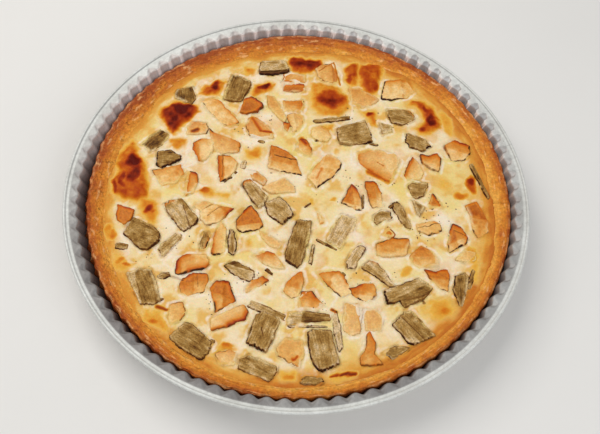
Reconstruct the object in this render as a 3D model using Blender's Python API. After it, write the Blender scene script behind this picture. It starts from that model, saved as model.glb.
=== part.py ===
"""A rhubarb and apple tart, baked in its fluted metal tart tin.

The tin, the pastry case, the baked custard and the larger fruit pieces that show in
the top are separate closed solids. The smaller fruit pieces and the baked blisters are
relief on the custard. Units are metres and +Z is up. The origin lies under the middle
of the tin, on the surface that the tin stands on.
"""
import math
import random

import bmesh
import bpy
from mathutils import Vector
from mathutils.geometry import delaunay_2d_cdt

MM = 0.001
CLEARANCE = 0.3 * MM            # gap between two pieces that touch

# Tin: 290 mm across the rim, 30 mm high, pressed from thin sheet with 90 flutes.
RIM_RADIUS = 145 * MM
TIN_HEIGHT = 30 * MM
SHEET = 0.7 * MM
FLUTES = 90
FOOT_RADIUS = 129.5 * MM        # a flute's groove where the wall meets the base
WALL_TOP_RADIUS = 138.2 * MM    # a flute's groove where the wall meets the flange
WALL_TOP = 28.9 * MM
FLUTE_DEPTH_FOOT = 1.2 * MM
FLUTE_DEPTH_TOP = 2.7 * MM
FLANGE_RISE = 0.4 * MM          # the flange climbs this much from the wall to the bead
BEAD_DIAMETER = 2.0 * MM        # rolled outer edge

# Pastry case: pressed into the flutes, shrunk away from the tin at the top.
CRUST_BASE_THICKNESS = 3.5 * MM
CRUST_WALL_TOP = 20 * MM        # up to here the pastry follows the flutes
CRUST_CREST = 25.2 * MM
CRUST_SCALLOP = 0.5 * MM        # what is left of the flutes on its shrunk top edge
CRUST_CRAG = 0.35 * MM          # roughness of the baked top
# Rings of its rounded top, from outside in: share of the way from the outer to the
# inner edge, drop below the crest in millimetres, and share of the crag height.
CRUST_TOP_RINGS = (
    (-0.03, 2.2, 0.3),
    (0.04, 0.9, 0.5),
    (0.20, 0.35, 1.0),
    (0.48, 0.6, 1.0),
    (0.76, 1.2, 1.0),
)
CASE_FLOOR_RADIUS = 114 * MM
CASE_WALL_FOOT = 14 * MM        # below this the case's inside closes in to its floor
# Radius of its outer top edge and of its inner edge, every 22.5 degrees from +X.
CRUST_OUTER_MM = (134.5, 135.2, 135.7, 135.7, 134.6, 132.9, 133.4, 133.3,
                  131.3, 131.2, 133.0, 134.0, 134.0, 132.9, 133.0, 133.8)
CRUST_INNER_MM = (122.5, 122.0, 122.0, 121.5, 117.0, 116.0, 119.0, 117.0,
                  118.5, 121.5, 124.0, 126.5, 127.5, 127.0, 126.5, 125.5)

# Custard: its level, how it climbs at the pastry, and the pockets that hold the fruit.
CUSTARD_LEVEL = 22.5 * MM
CUSTARD_EDGE_RISE = 0.6 * MM
CUSTARD_EDGE_WIDTH = 8 * MM
CUSTARD_SIDES = 90
CUSTARD_LUMP = 0.3 * MM
RELIEF_SPACING = 8 * MM         # free points of the custard's surface
RELIEF_MARGIN = 2.2 * MM        # and how far they stay from an outline
RELIEF_JITTER = 0.4             # their scatter, as a share of the spacing
POCKET_FLOOR = 15 * MM

# Cut fruit: how uneven its outline is, as shares of its width or length.
FRUIT_BEVEL = 0.9 * MM          # rounding of a piece's upper edge
FRUIT_BOW = (0.03, 0.08)        # least and most bulge of a long side
FRUIT_SLIP = 0.06               # most that the bulge sits off the middle
FRUIT_SKEW = 0.05               # most that one corner runs past the other
SUNK_SLOPE = 1.6 * MM           # width of the slope round a sunk piece
SUNK_TAPER = 0.15

# Fruit pieces that stand proud, in millimetres and degrees: centre x and y, length,
# width, turn of the length from +X, taper towards the front end (0 none, 1 a point),
# rise above the custard, and how much higher the front end is than the middle.
RHUBARB = (
    (-80.0, 73.5, 14, 11, -25, 0.15, 1.2, 0.0),
    (-47.0, 82.5, 20, 13.5, 80, 0.05, 1.6, 0.2),
    (-95.0, 34.0, 17.5, 10, 48, 0.10, 1.0, 0.0),
    (-85.5, 18.7, 14, 12, 8, 0.55, 1.6, 0.3),
    (-92.5, -38.5, 21, 15.5, -20, 0.10, 1.8, 0.3),
    (-71.5, -23.0, 20, 12.5, -52, 0.05, 1.6, 0.3),
    (-55.0, -39.5, 13, 5.5, 90, 0.10, 1.0, 0.0),
    (-38.6, -40.5, 18, 5.5, -80, 0.20, 1.3, 0.0),
    (-28.0, -3.5, 18, 10.5, -52, 0.10, 1.7, 0.2),
    (-10.5, -16.0, 16, 12, -38, 0.10, 1.6, 0.3),
    (2.5, -37.0, 31, 12, 82, 0.15, 1.8, 0.2),
    (29.0, -27.0, 24, 12, 65, 0.10, 0.9, 0.0),
    (37.5, -43.5, 17, 7, 62, 0.10, 1.2, 0.0),
    (51.0, -53.7, 19, 8.5, -37, 0.10, 1.3, 0.2),
    (54.0, -15.0, 12, 9, 8, 0.10, 1.2, 0.0),
    (66.5, -13.0, 18, 6.5, -65, 0.10, 1.2, 0.0),
    (76.0, 7.0, 13, 11, 0, 0.10, 1.0, 0.0),
    (67.0, -66.0, 26, 10.5, 22, 0.05, 1.8, 0.3),
    (98.8, -61.8, 20, 6.5, 88, 0.10, 1.4, 0.0),
    (70.8, -88.5, 20, 14, -48, 0.10, 1.7, 0.2),
    (20.0, -105.0, 23, 14, -72, 0.05, 1.9, 0.2),
    (11.0, -86.0, 23, 7.5, 0, 0.10, 1.5, 0.0),
    (-14.5, -96.0, 22, 13, 72, 0.10, 1.9, 0.3),
    (-17.0, -117.0, 20, 10, -22, 0.10, 1.6, 0.0),
    (-55.2, -103.6, 22, 12, -28, 0.10, 1.8, 0.2),
    (-86.0, -72.0, 20, 12, -65, 0.15, 1.6, 0.2),
    (-32.0, -58.5, 19, 8.5, -22, 0.30, 1.2, 0.0),
    (-22.0, 102.0, 19, 9, 9, 0.10, 2.0, 0.3),
    (34.0, 49.0, 21, 14, 10, 0.10, 1.9, 0.3),
    (66.5, 65.0, 18, 11, -10, 0.15, 1.5, 0.0),
    (77.5, 43.0, 16, 10.5, -22, 0.30, 1.6, 0.2),
)
APPLE = (
    (-57.0, 62.0, 27, 10.5, -40, 0.20, 1.2, 0.0),
    (-65.0, 27.0, 14, 10, 108, 0.10, 1.4, 0.4),
    (-47.5, 14.5, 20, 12, -90, 0.45, 1.6, -0.5),
    (-81.0, 6.5, 18, 12, 12, 0.20, 1.2, 0.0),
    (-107.0, -22.5, 11.5, 9.5, 115, 0.10, 1.4, 0.3),
    (-51.5, -19.5, 15, 11, 12, 0.20, 1.2, 0.2),
    (-28.5, -23.5, 16, 14, 90, 0.80, 1.9, 0.6),
    (-9.5, 23.0, 20, 18, -15, 0.25, 2.1, 0.2),
    (17.0, 18.0, 21, 13, 50, 0.20, 1.5, 0.0),
    (35.0, -3.5, 16, 13, 78, 0.70, 1.8, 0.6),
    (48.5, 1.0, 19, 9, 97, 0.10, 1.7, 0.5),
    (86.0, 28.3, 13, 12, 95, -0.40, 1.7, 0.6),
    (102.5, 38.0, 15.5, 15, 5, 0.10, 1.9, 0.2),
    (99.5, -28.0, 18, 12, 65, 0.10, 1.8, 0.5),
    (112.3, -13.0, 23, 9, 108, 0.10, 1.5, 0.4),
    (60.0, -36.0, 19, 11, 8, 0.05, 1.8, 0.1),
    (87.0, -56.5, 14, 14, 92, -0.50, 1.8, 0.5),
    (43.5, -68.5, 15, 11, 180, 0.50, 1.8, 0.4),
    (24.0, -62.0, 19, 10.5, -56, 0.35, 1.3, 0.0),
    (1.5, -65.0, 17, 9, 70, 0.50, 1.6, 0.3),
    (-39.5, -75.0, 19, 12, 110, 0.10, 2.1, 0.4),
    (-58.0, -71.5, 15, 13, 20, 0.20, 2.0, 0.0),
    (-60.5, -55.5, 19, 10, 192, 0.10, 1.7, 0.4),
    (46.0, -104.0, 18, 8, 85, 0.60, 1.6, 0.4),
    (63.5, 88.5, 19, 13, 15, 0.15, 1.3, 0.0),
    (-33.2, 66.8, 13, 12, 30, 0.10, 2.1, 0.2),
)
# Pieces sunk under a skin of custard: centre x and y, length, width, turn, rise.
SUNK_FRUIT = (
    (-76.0, -45.7, 12, 9, 50, 0.9),
    (77.5, -6.5, 11, 8, -60, 0.7),
    (60.5, -104.5, 16, 6, 17, 1.0),
    (14.5, -122.0, 12, 5, -3, 1.0),
    (27.0, -84.0, 10, 4, -80, 0.8),
    (55.0, 54.0, 9, 9, 0, 0.7),
    (13.0, -74.5, 11, 10, 80, 1.2),
    (2.5, -108.5, 13, 12, 100, 1.1),
    (17.0, 100.0, 16, 13, 60, 1.1),
    (-5.0, 68.0, 14, 10, 0, 1.1),
    (-4.0, 53.5, 14, 9, 75, 0.9),
    (-66.5, 1.0, 13, 6, 92, 0.9),
    (-27.0, 48.0, 17, 14, 10, 1.0),
    (-66.0, -88.0, 11, 10, 20, 1.0),
    (-46.0, -36.0, 20, 5.5, 97, 0.8),
    (-5.0, 95.5, 12, 6, 0, 0.9),
    (-8.0, 85.5, 15, 7, 0, 0.9),
    (-18.5, 66.0, 19, 8, -60, 0.8),
    (52.0, 28.0, 20, 14, -25, 0.9),
    (-8.5, 2.5, 14, 9, 10, 0.7),
    (-27.0, 14.5, 13, 8, -55, 0.8),
    (-17.0, -48.0, 14, 9, -20, 0.9),
    (-29.0, -89.0, 13, 10, 40, 0.9),
    (36.0, -84.0, 18, 7.5, -86, 0.9),
    (49.0, -84.5, 11, 9, 90, 0.8),
    (80.0, -42.0, 14, 12, 0, 1.0),
    (84.0, -20.5, 15, 8, 5, 0.8),
    (74.5, 25.0, 13, 7, -80, 0.8),
    (-51.0, 37.0, 14, 9, -20, 0.8),
    (-70.5, 46.5, 9, 9, 0, 1.0),
)
# Baked blisters: centre x and y, half length, half width, turn, rise.
BLISTERS = (
    (-85.0, 56.5, 13, 10, 20, 1.9),
    (-62.0, 82.0, 9, 6.5, 30, 1.4),
    (1.0, 108.0, 12, 6, 0, 1.4),
    (33.0, 101.0, 7, 12, 0, 1.8),
    (45.0, 97.0, 8, 13, 0, 2.0),
    (18.0, 76.0, 15, 12, -5, 1.6),
    (85.0, 63.0, 7, 13, -10, 1.7),
    (76.0, 76.5, 9, 4, -10, 1.1),
    (-30.0, 83.5, 9, 5, 35, 1.1),
    (-107.5, 9.0, 10, 22, 5, 2.1),
    (-90.0, -19.0, 5, 8, 0, 1.1),
    (110.5, 13.0, 4, 6, 0, 0.9),
    (90.0, -74.5, 11, 8, 30, 1.2),
    (46.0, 65.0, 6, 4, 0, 0.9),
    (-80.5, 33.5, 6, 4.5, -20, 0.8),
    (-57.5, -3.5, 5, 3, -20, 0.6),
    (-34.0, -106.5, 7, 3.5, 20, 0.7),
    (-102.5, -57.5, 6, 6, 0, 0.8),
)
BLISTER_POINTS = 7              # points on the ring part way up a blister
BLISTER_RING = 0.65             # and how far out that ring is


# ---- Small helpers ---------------------------------------------------------------

def mix(a, b, t):
    """The value a share t of the way from a to b."""
    return a + (b - a) * t


def ring_value(table_mm, angle):
    """A closed table of millimetre values read smoothly at an angle, in metres."""
    place = (angle % math.tau) / math.tau * len(table_mm)
    index = int(place)
    t = place - index
    ease = t * t * (3 - 2 * t)
    here = table_mm[index % len(table_mm)]
    after = table_mm[(index + 1) % len(table_mm)]
    return mix(here, after, ease) * MM


def polar(radius, angle, height):
    """A point from its radius, angle and height."""
    return Vector((radius * math.cos(angle), radius * math.sin(angle), height))


def principled(name, colour, roughness, metallic=0.0):
    """A plain material with the piece's colour and finish."""
    material = bpy.data.materials.new(name)
    material.use_nodes = True
    shader = material.node_tree.nodes["Principled BSDF"]
    shader.inputs["Base Color"].default_value = (*colour, 1.0)
    shader.inputs["Roughness"].default_value = roughness
    shader.inputs["Metallic"].default_value = metallic
    material.diffuse_color = (*colour, 1.0)
    return material


def add_object(name, mesh, material, parent, place=(0, 0, 0), turn=0.0):
    """Puts a mesh into the scene as a named object under the tart's empty."""
    thing = bpy.data.objects.new(name, mesh)
    bpy.context.scene.collection.objects.link(thing)
    thing.data.materials.append(material)
    thing.location = place
    thing.rotation_euler = (0, 0, turn)
    thing.parent = parent
    return thing


def mesh_from(name, points, faces):
    """A closed mesh from points and faces, turned to face outwards."""
    solid = bmesh.new()
    verts = [solid.verts.new(point) for point in points]
    for face in faces:
        solid.faces.new([verts[index] for index in face])
    bmesh.ops.recalc_face_normals(solid, faces=solid.faces)
    mesh = bpy.data.meshes.new(name)
    solid.to_mesh(mesh)
    solid.free()
    return mesh


def lathe_like(name, rings, low_centre, high_centre):
    """Bridges closed rings of equal length and closes both ends with a fan."""
    count = len(rings[0])
    points = [point for ring in rings for point in ring]
    faces = []
    for level in range(len(rings) - 1):
        for i in range(count):
            j = (i + 1) % count
            low = level * count
            high = low + count
            faces.append((low + i, low + j, high + j, high + i))
    last = (len(rings) - 1) * count
    for start, centre in ((0, low_centre), (last, high_centre)):
        points.append(centre)
        tip = len(points) - 1
        faces.extend((start + i, start + (i + 1) % count, tip) for i in range(count))
    return mesh_from(name, points, faces)


# ---- Tin -------------------------------------------------------------------------

def wall_radius(height, column):
    """Inner radius of the tin's wall: it leans out, and odd columns are ridges."""
    share = (height - SHEET) / (WALL_TOP - SHEET)
    groove = mix(FOOT_RADIUS, WALL_TOP_RADIUS, share)
    depth = mix(FLUTE_DEPTH_FOOT, FLUTE_DEPTH_TOP, share)
    return groove - depth * (column % 2)


def column_angle(column):
    """Angle of one of the columns, two to a flute, that tin and pastry share."""
    return math.tau * column / (2 * FLUTES)


def tin_ring(height, radius):
    """A plain ring of the tin."""
    return [polar(radius, column_angle(k), height) for k in range(2 * FLUTES)]


def fluted_ring(height, offset):
    """A ring that follows the flutes, offset outwards from the inner wall."""
    return [
        polar(wall_radius(height, k) + offset, column_angle(k), height)
        for k in range(2 * FLUTES)
    ]


def make_tin(parent):
    """Pressed tin: base, fluted wall, flat flange and rolled bead, in one sheet."""
    bead = BEAD_DIAMETER / 2
    bead_middle = RIM_RADIUS - bead
    flange_edge = bead_middle - bead
    flange_top = WALL_TOP + FLANGE_RISE
    rings = [
        fluted_ring(SHEET, 0),
        fluted_ring(WALL_TOP, 0),
        tin_ring(flange_top, flange_edge),
        tin_ring(TIN_HEIGHT, bead_middle),
        tin_ring(TIN_HEIGHT - bead, RIM_RADIUS),
        tin_ring(TIN_HEIGHT - BEAD_DIAMETER, bead_middle),
        tin_ring(flange_top - SHEET, flange_edge),
        fluted_ring(WALL_TOP - SHEET, SHEET),
        fluted_ring(0, SHEET),
    ]
    mesh = lathe_like("tart_tin", rings, Vector((0, 0, SHEET)), Vector((0, 0, 0)))
    material = principled("tin_metal", (0.62, 0.62, 0.59), 0.38, 0.85)
    return add_object("tart_tin", mesh, material, parent)


# ---- Pastry case -----------------------------------------------------------------

def crust_outer(angle):
    """Radius of the pastry's outer top edge."""
    return ring_value(CRUST_OUTER_MM, angle)


def crust_inner(angle):
    """Radius at which the custard meets the pastry."""
    return ring_value(CRUST_INNER_MM, angle)


def crust_ring(height, share, crag, dice):
    """A ring of the pastry's top, a share of the way from its outer to its inner edge.

    The outline keeps a trace of the flutes, stays off the tin's wall, and is roughened
    by the crag height.
    """
    ring = []
    for k in range(2 * FLUTES):
        angle = column_angle(k)
        scallop = CRUST_SCALLOP * (0.5 - k % 2) * (1 - share)
        radius = mix(crust_outer(angle), crust_inner(angle), share) + scallop
        rough = crag * (dice.random() * 2 - 1)
        level = height + rough
        radius = min(radius + rough, wall_radius(level, k) - CLEARANCE)
        ring.append(polar(radius, angle, level))
    return ring


def make_crust(parent):
    """Pastry case: base, wall pressed into the flutes, and a rounded craggy rim."""
    dice = random.Random(7)
    under = SHEET + CLEARANCE
    floor = under + CRUST_BASE_THICKNESS
    rings = [
        fluted_ring(under, -CLEARANCE),
        fluted_ring(CRUST_WALL_TOP, -CLEARANCE),
    ]
    for share, drop, crag in CRUST_TOP_RINGS:
        rings.append(crust_ring(CRUST_CREST - drop * MM, share, crag * CRUST_CRAG, dice))
    rings += [
        crust_ring(CUSTARD_LEVEL, 1.0, 0, dice),
        crust_ring(CASE_WALL_FOOT, 1.0, 0, dice),
        [polar(CASE_FLOOR_RADIUS, column_angle(k), floor) for k in range(2 * FLUTES)],
    ]
    mesh = lathe_like("pastry_crust", rings, Vector((0, 0, under)), Vector((0, 0, floor)))
    material = principled("baked_pastry", (0.56, 0.24, 0.06), 0.75)
    return add_object("pastry_crust", mesh, material, parent)


# ---- Fruit pieces ----------------------------------------------------------------

def fruit_outline(length, width, taper, dice, grow=0.0):
    """Outline of a cut piece, in its own frame: four corners and two bowed sides.

    A positive taper narrows the front end and a negative one the back end. The outline
    is grown outwards by the given amount.
    """
    front = width * (1 - max(taper, 0.0))
    back = width * (1 + min(taper, 0.0))
    middle = (front + back) / 2
    half = length / 2
    bow = width * mix(*FRUIT_BOW, dice.random())
    slip = length * FRUIT_SLIP * (dice.random() * 2 - 1)
    skew = length * FRUIT_SKEW * (dice.random() * 2 - 1)
    return [
        (half + grow, -front / 2 - grow),
        (half + skew + grow, front / 2 + grow),
        (slip, middle / 2 + bow + grow),
        (-half + skew - grow, back / 2 + grow),
        (-half - grow, -back / 2 - grow),
        (-slip, -middle / 2 - bow - grow),
    ]


def place_outline(outline, x, y, turn):
    """An outline in the tart's frame."""
    cosine = math.cos(turn)
    sine = math.sin(turn)
    return [(x + u * cosine - v * sine, y + u * sine + v * cosine) for u, v in outline]


def fruit_dice(x, y):
    """The random draws of the piece at a place, the same each time it is asked."""
    return random.Random(round(x * 10) * 4001 + round(y * 10))


def fruit_solid(name, piece):
    """A cut piece: sunk body, straight sides and a bevelled, tilted top."""
    x, y, length, width, turn, taper, rise, lift = piece
    length, width, rise, lift = (value * MM for value in (length, width, rise, lift))
    outline = fruit_outline(length, width, taper, fruit_dice(x, y))
    waist = CUSTARD_LEVEL + rise / 2
    under = POCKET_FLOOR + CLEARANCE
    body = [Vector((u, v, under)) for u, v in outline]
    side = [Vector((u, v, waist)) for u, v in outline]
    inset_u = 1 - 2 * FRUIT_BEVEL / length
    inset_v = 1 - 2 * FRUIT_BEVEL / width
    top = []
    for u, v in outline:
        level = CUSTARD_LEVEL + rise + lift * u / (length / 2)
        top.append(Vector((u * inset_u, v * inset_v, level)))
    count = len(outline)
    points = body + side + top
    faces = [tuple(range(count)), tuple(range(2 * count, 3 * count))]
    for level in (0, count):
        for i in range(count):
            j = (i + 1) % count
            faces.append((level + i, level + j, level + count + j, level + count + i))
    return mesh_from(name, points, faces)


def make_fruit(kind, pieces, material, parent):
    """One object for each piece of a kind, laid into its pocket in the custard."""
    for number, piece in enumerate(pieces, 1):
        x, y, turn = piece[0], piece[1], piece[4]
        name = f"{kind}_{number:02d}"
        place = (x * MM, y * MM, 0)
        add_object(name, fruit_solid(name, piece), material, parent, place, math.radians(turn))


# ---- Custard ---------------------------------------------------------------------

def blister_height(x, y):
    """Rise of the blisters at a place: each is a smooth dome over an ellipse."""
    rise = 0.0
    for centre_x, centre_y, half_u, half_v, turn, height in BLISTERS:
        dx = x - centre_x * MM
        dy = y - centre_y * MM
        angle = math.radians(turn)
        u = (dx * math.cos(angle) + dy * math.sin(angle)) / (half_u * MM)
        v = (dy * math.cos(angle) - dx * math.sin(angle)) / (half_v * MM)
        inside = max(0.0, 1 - u * u - v * v)
        rise = max(rise, height * MM * inside * (2 - inside))
    return rise


def custard_height(x, y, dice):
    """Height of the custard: level, lumpy, blistered, and climbing at the pastry."""
    angle = math.atan2(y, x)
    to_edge = crust_inner(angle) - math.hypot(x, y)
    climb = max(0.0, 1 - to_edge / CUSTARD_EDGE_WIDTH)
    lump = CUSTARD_LUMP * (dice.random() * 2 - 1)
    return CUSTARD_LEVEL + CUSTARD_EDGE_RISE * climb * climb + lump + blister_height(x, y)


def edge_distance(x, y, loop):
    """Distance from a point to a closed outline, zero when the point is inside it."""
    inside = False
    nearest = math.inf
    for (ax, ay), (bx, by) in zip(loop, loop[1:] + loop[:1]):
        if (ay > y) != (by > y) and x < ax + (y - ay) / (by - ay) * (bx - ax):
            inside = not inside
        run_x, run_y = bx - ax, by - ay
        along = ((x - ax) * run_x + (y - ay) * run_y) / (run_x * run_x + run_y * run_y)
        along = min(1.0, max(0.0, along))
        nearest = min(nearest, math.hypot(x - ax - along * run_x, y - ay - along * run_y))
    return 0.0 if inside else nearest


def custard_edge():
    """The custard's outline, a clearance inside the pastry."""
    loop = []
    for side in range(CUSTARD_SIDES):
        angle = math.tau * side / CUSTARD_SIDES
        radius = crust_inner(angle) - 1.5 * CLEARANCE
        loop.append((radius * math.cos(angle), radius * math.sin(angle)))
    return loop


def pocket_loops():
    """Outlines of the pockets, a clearance larger than their fruit pieces."""
    loops = []
    for x, y, length, width, turn, taper, _, _ in RHUBARB + APPLE:
        outline = fruit_outline(length * MM, width * MM, taper, fruit_dice(x, y), CLEARANCE)
        loops.append(place_outline(outline, x * MM, y * MM, math.radians(turn)))
    return loops


def bump_loops():
    """Foot and shoulder outlines of the sunk pieces, and how high each shoulder is."""
    loops = []
    for x, y, length, width, turn, rise in SUNK_FRUIT:
        for shrink, height in ((0.0, 0.0), (SUNK_SLOPE, rise * MM)):
            outline = fruit_outline(
                length * MM - shrink, width * MM - shrink, SUNK_TAPER, fruit_dice(x, y)
            )
            loop = place_outline(outline, x * MM, y * MM, math.radians(turn))
            loops.append((loop, height))
    return loops


def blister_points():
    """A middle point and a ring of points on each blister."""
    points = []
    for x, y, half_u, half_v, turn, _ in BLISTERS:
        angle = math.radians(turn)
        ring = [(0.0, 0.0)]
        for step in range(BLISTER_POINTS):
            around = math.tau * step / BLISTER_POINTS
            ring.append((BLISTER_RING * half_u * MM * math.cos(around),
                         BLISTER_RING * half_v * MM * math.sin(around)))
        points.extend(place_outline(ring, x * MM, y * MM, angle))
    return points


def relief_points(loops, dice):
    """Points for lumps and blisters, scattered on a grid clear of every outline."""
    rows = int(2 * RIM_RADIUS / RELIEF_SPACING)
    grid = []
    for row in range(rows):
        for step in range(rows):
            shift = RELIEF_SPACING / 2 * (row % 2)
            jitter_x = (dice.random() - 0.5) * RELIEF_SPACING * RELIEF_JITTER
            jitter_y = (dice.random() - 0.5) * RELIEF_SPACING * RELIEF_JITTER
            grid.append((step * RELIEF_SPACING - RIM_RADIUS + shift + jitter_x,
                         row * RELIEF_SPACING - RIM_RADIUS + jitter_y))
    kept = []
    for x, y in blister_points() + grid:
        room = crust_inner(math.atan2(y, x)) - math.hypot(x, y)
        if room < RELIEF_MARGIN:
            continue
        if any(edge_distance(x, y, loop) < RELIEF_MARGIN for loop in loops):
            continue
        if any(math.hypot(x - a, y - b) < RELIEF_MARGIN for a, b in kept):
            continue
        kept.append((x, y))
    return kept


def triangulated_top(dice):
    """Plan of the custard: its points, raised heights, and triangles in or out of a pocket."""
    edge = custard_edge()
    pockets = pocket_loops()
    bumps = bump_loops()
    loops = [edge] + pockets + [loop for loop, _ in bumps]
    plan = []
    faces = []
    raised = {}
    for loop in loops:
        faces.append(list(range(len(plan), len(plan) + len(loop))))
        plan.extend(loop)
    for face, (_, height) in zip(faces[1 + len(pockets):], bumps):
        raised.update((index, height) for index in face)
    plan.extend(relief_points(loops[1:], dice))
    scaled = [Vector((x / MM, y / MM)) for x, y in plan]
    result = delaunay_2d_cdt(scaled, [], faces, 0, 1e-4)
    points = [(point.x * MM, point.y * MM) for point in result[0]]
    lifts = [max((raised.get(i, 0.0) for i in origin), default=0.0) for origin in result[3]]
    pocket_ids = set(range(1, 1 + len(pockets)))
    surface = []
    sunk = []
    for triangle, origin in zip(result[2], result[5]):
        if 0 not in origin:
            continue
        if pocket_ids.intersection(origin):
            sunk.append(tuple(triangle))
        else:
            surface.append(tuple(triangle))
    return points, lifts, surface, sunk


def open_edges(triangles):
    """Directed edges that belong to one triangle only."""
    edges = set()
    for a, b, c in triangles:
        for edge in ((a, b), (b, c), (c, a)):
            if (edge[1], edge[0]) in edges:
                edges.remove((edge[1], edge[0]))
            else:
                edges.add(edge)
    return edges


def make_custard(parent):
    """Baked custard: a lumpy top with pockets, walls down to them, and a round body."""
    dice = random.Random(21)
    plan, lifts, surface, sunk = triangulated_top(dice)
    points = [
        Vector((x, y, custard_height(x, y, dice) + lift)) for (x, y), lift in zip(plan, lifts)
    ]
    faces = list(surface)
    deep = {}

    def below(index):
        """The point of a pocket's floor under a point of the plan."""
        if index not in deep:
            deep[index] = len(points)
            points.append(Vector((plan[index][0], plan[index][1], POCKET_FLOOR)))
        return deep[index]

    for triangle in sunk:
        faces.append(tuple(below(index) for index in triangle))
    for a, b in open_edges(sunk):
        faces.append((a, b, below(b), below(a)))
    outer = [(a, b) for a, b in open_edges(surface) if a not in deep or b not in deep]
    under = SHEET + 2 * CLEARANCE + CRUST_BASE_THICKNESS
    foot_radius = CASE_FLOOR_RADIUS - 2 * CLEARANCE
    waist = {}
    foot = {}
    for index in sorted({index for edge in outer for index in edge}):
        x, y = plan[index]
        waist[index] = len(points)
        foot[index] = len(points) + 1
        points.append(Vector((x, y, CASE_WALL_FOOT)))
        points.append(polar(foot_radius, math.atan2(y, x), under))
    points.append(Vector((0, 0, under)))
    middle = len(points) - 1
    for a, b in outer:
        faces.append((a, b, waist[b], waist[a]))
        faces.append((waist[a], waist[b], foot[b], foot[a]))
        faces.append((foot[a], foot[b], middle))
    mesh = mesh_from("custard_filling", points, faces)
    material = principled("baked_custard", (0.82, 0.65, 0.34), 0.45)
    return add_object("custard_filling", mesh, material, parent)


def main():
    """Clears the scene and builds the tart."""
    for thing in list(bpy.data.objects):
        bpy.data.objects.remove(thing, do_unlink=True)
    tart = bpy.data.objects.new("tart", None)
    bpy.context.scene.collection.objects.link(tart)
    make_tin(tart)
    make_crust(tart)
    make_custard(tart)
    rhubarb_flesh = principled("rhubarb_flesh", (0.33, 0.25, 0.12), 0.6)
    apple_flesh = principled("apple_flesh", (0.68, 0.36, 0.13), 0.5)
    make_fruit("rhubarb", RHUBARB, rhubarb_flesh, tart)
    make_fruit("apple", APPLE, apple_flesh, tart)
    bpy.context.view_layer.update()


main()
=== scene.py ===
"""Looks of a rhubarb and apple tart, baked in its fluted metal tin.

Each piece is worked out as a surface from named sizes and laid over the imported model:
the pressed tin, the pastry case, the baked custard, and the cut fruit that lies in it.
Tables give places in millimetres and turns in degrees from +X. Units are metres and +Z
is up.
"""
import math
import random
from typing import NamedTuple

import bpy
import numpy as np
from bpy.props import FloatProperty, FloatVectorProperty, IntProperty, PointerProperty
from bpy.types import Operator, Panel, PropertyGroup
from mathutils import Matrix, Vector


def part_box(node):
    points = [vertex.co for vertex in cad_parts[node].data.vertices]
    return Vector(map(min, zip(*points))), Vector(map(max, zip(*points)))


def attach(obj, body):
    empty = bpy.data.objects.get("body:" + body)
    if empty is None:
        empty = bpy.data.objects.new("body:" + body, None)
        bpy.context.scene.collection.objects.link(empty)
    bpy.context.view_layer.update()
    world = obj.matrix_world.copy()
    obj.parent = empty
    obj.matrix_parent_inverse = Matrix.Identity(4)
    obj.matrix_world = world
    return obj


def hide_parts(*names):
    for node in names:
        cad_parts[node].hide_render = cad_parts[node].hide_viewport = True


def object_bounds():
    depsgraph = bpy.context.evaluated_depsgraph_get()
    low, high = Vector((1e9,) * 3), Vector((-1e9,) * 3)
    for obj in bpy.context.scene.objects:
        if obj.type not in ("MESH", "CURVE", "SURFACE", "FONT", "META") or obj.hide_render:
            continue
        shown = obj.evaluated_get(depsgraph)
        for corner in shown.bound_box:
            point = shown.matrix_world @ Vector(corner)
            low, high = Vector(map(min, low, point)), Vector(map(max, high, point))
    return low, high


bl_info = {
    "name": "Rhubarb tart",
    "version": (1, 0, 0),
    "blender": (4, 5, 0),
    "location": "3D View > Sidebar > Tart",
    "description": "Builds the tin, pastry, custard and fruit of a rhubarb tart",
    "category": "Object",
}

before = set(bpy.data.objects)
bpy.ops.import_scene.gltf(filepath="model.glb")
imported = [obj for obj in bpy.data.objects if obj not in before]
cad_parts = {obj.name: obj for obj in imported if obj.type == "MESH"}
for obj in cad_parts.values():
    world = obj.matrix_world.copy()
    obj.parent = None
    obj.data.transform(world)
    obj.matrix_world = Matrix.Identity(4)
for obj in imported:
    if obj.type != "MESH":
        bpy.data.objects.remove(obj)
CAD_BOX = [list(corner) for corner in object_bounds()]

MM = 0.001
BODY = "root"

# Tin
SHEET = 0.7 * MM
FLUTES = 90
FOOT_RADIUS = 129.5 * MM
WALL_TOP_RADIUS = 138.2 * MM
WALL_TOP = 28.9 * MM
FLUTE_DEPTH_FOOT = 1.2 * MM
FLUTE_DEPTH_TOP = 2.1 * MM
FLANGE_RISE = 0.4 * MM
FLANGE_SAG = 0.15 * MM
BEAD_RADIUS = 1.0 * MM
BEAD_SPACE = 0.002 * MM
SHOULDER = 1.3 * MM
FOOT_ROUND = 1.2 * MM
FLUTE_DIP = 1.25 * MM
TOOTH_FOOT = 24 * MM
# How much of the darker grey and of the paler tone the outside takes, as plain tones.
OUTSIDE_GREY = 0.25
OUTSIDE_TONE = 0.3

# Pastry
CLEARANCE = 0.3 * MM
PASTRY_UNDER = 1.0 * MM
PASTRY_FLOOR = 4.5 * MM
PASTRY_WALL_TOP = 17 * MM
FLOOR_RADIUS = 114 * MM
# Radius that the rim's map is measured at, and how many streaks go round.
PASTRY_ARC = 130 * MM
STREAK_CELLS = 131
CUSTARD_LEVEL = 22.5 * MM
# Radius of the pastry's outer top edge and of its inner edge, every 22.5 degrees from +X.
CRUST_OUTER_MM = (134.5, 135.2, 135.7, 135.7, 134.6, 132.9, 133.4, 133.3,
                  131.3, 131.6, 133.4, 134.6, 134.6, 134.0, 134.0, 134.2)
CRUST_INNER_MM = (122.5, 122.0, 122.0, 121.5, 117.0, 116.0, 119.0, 117.0,
                  118.5, 121.5, 124.0, 126.5, 127.5, 127.0, 126.5, 125.5)
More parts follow.
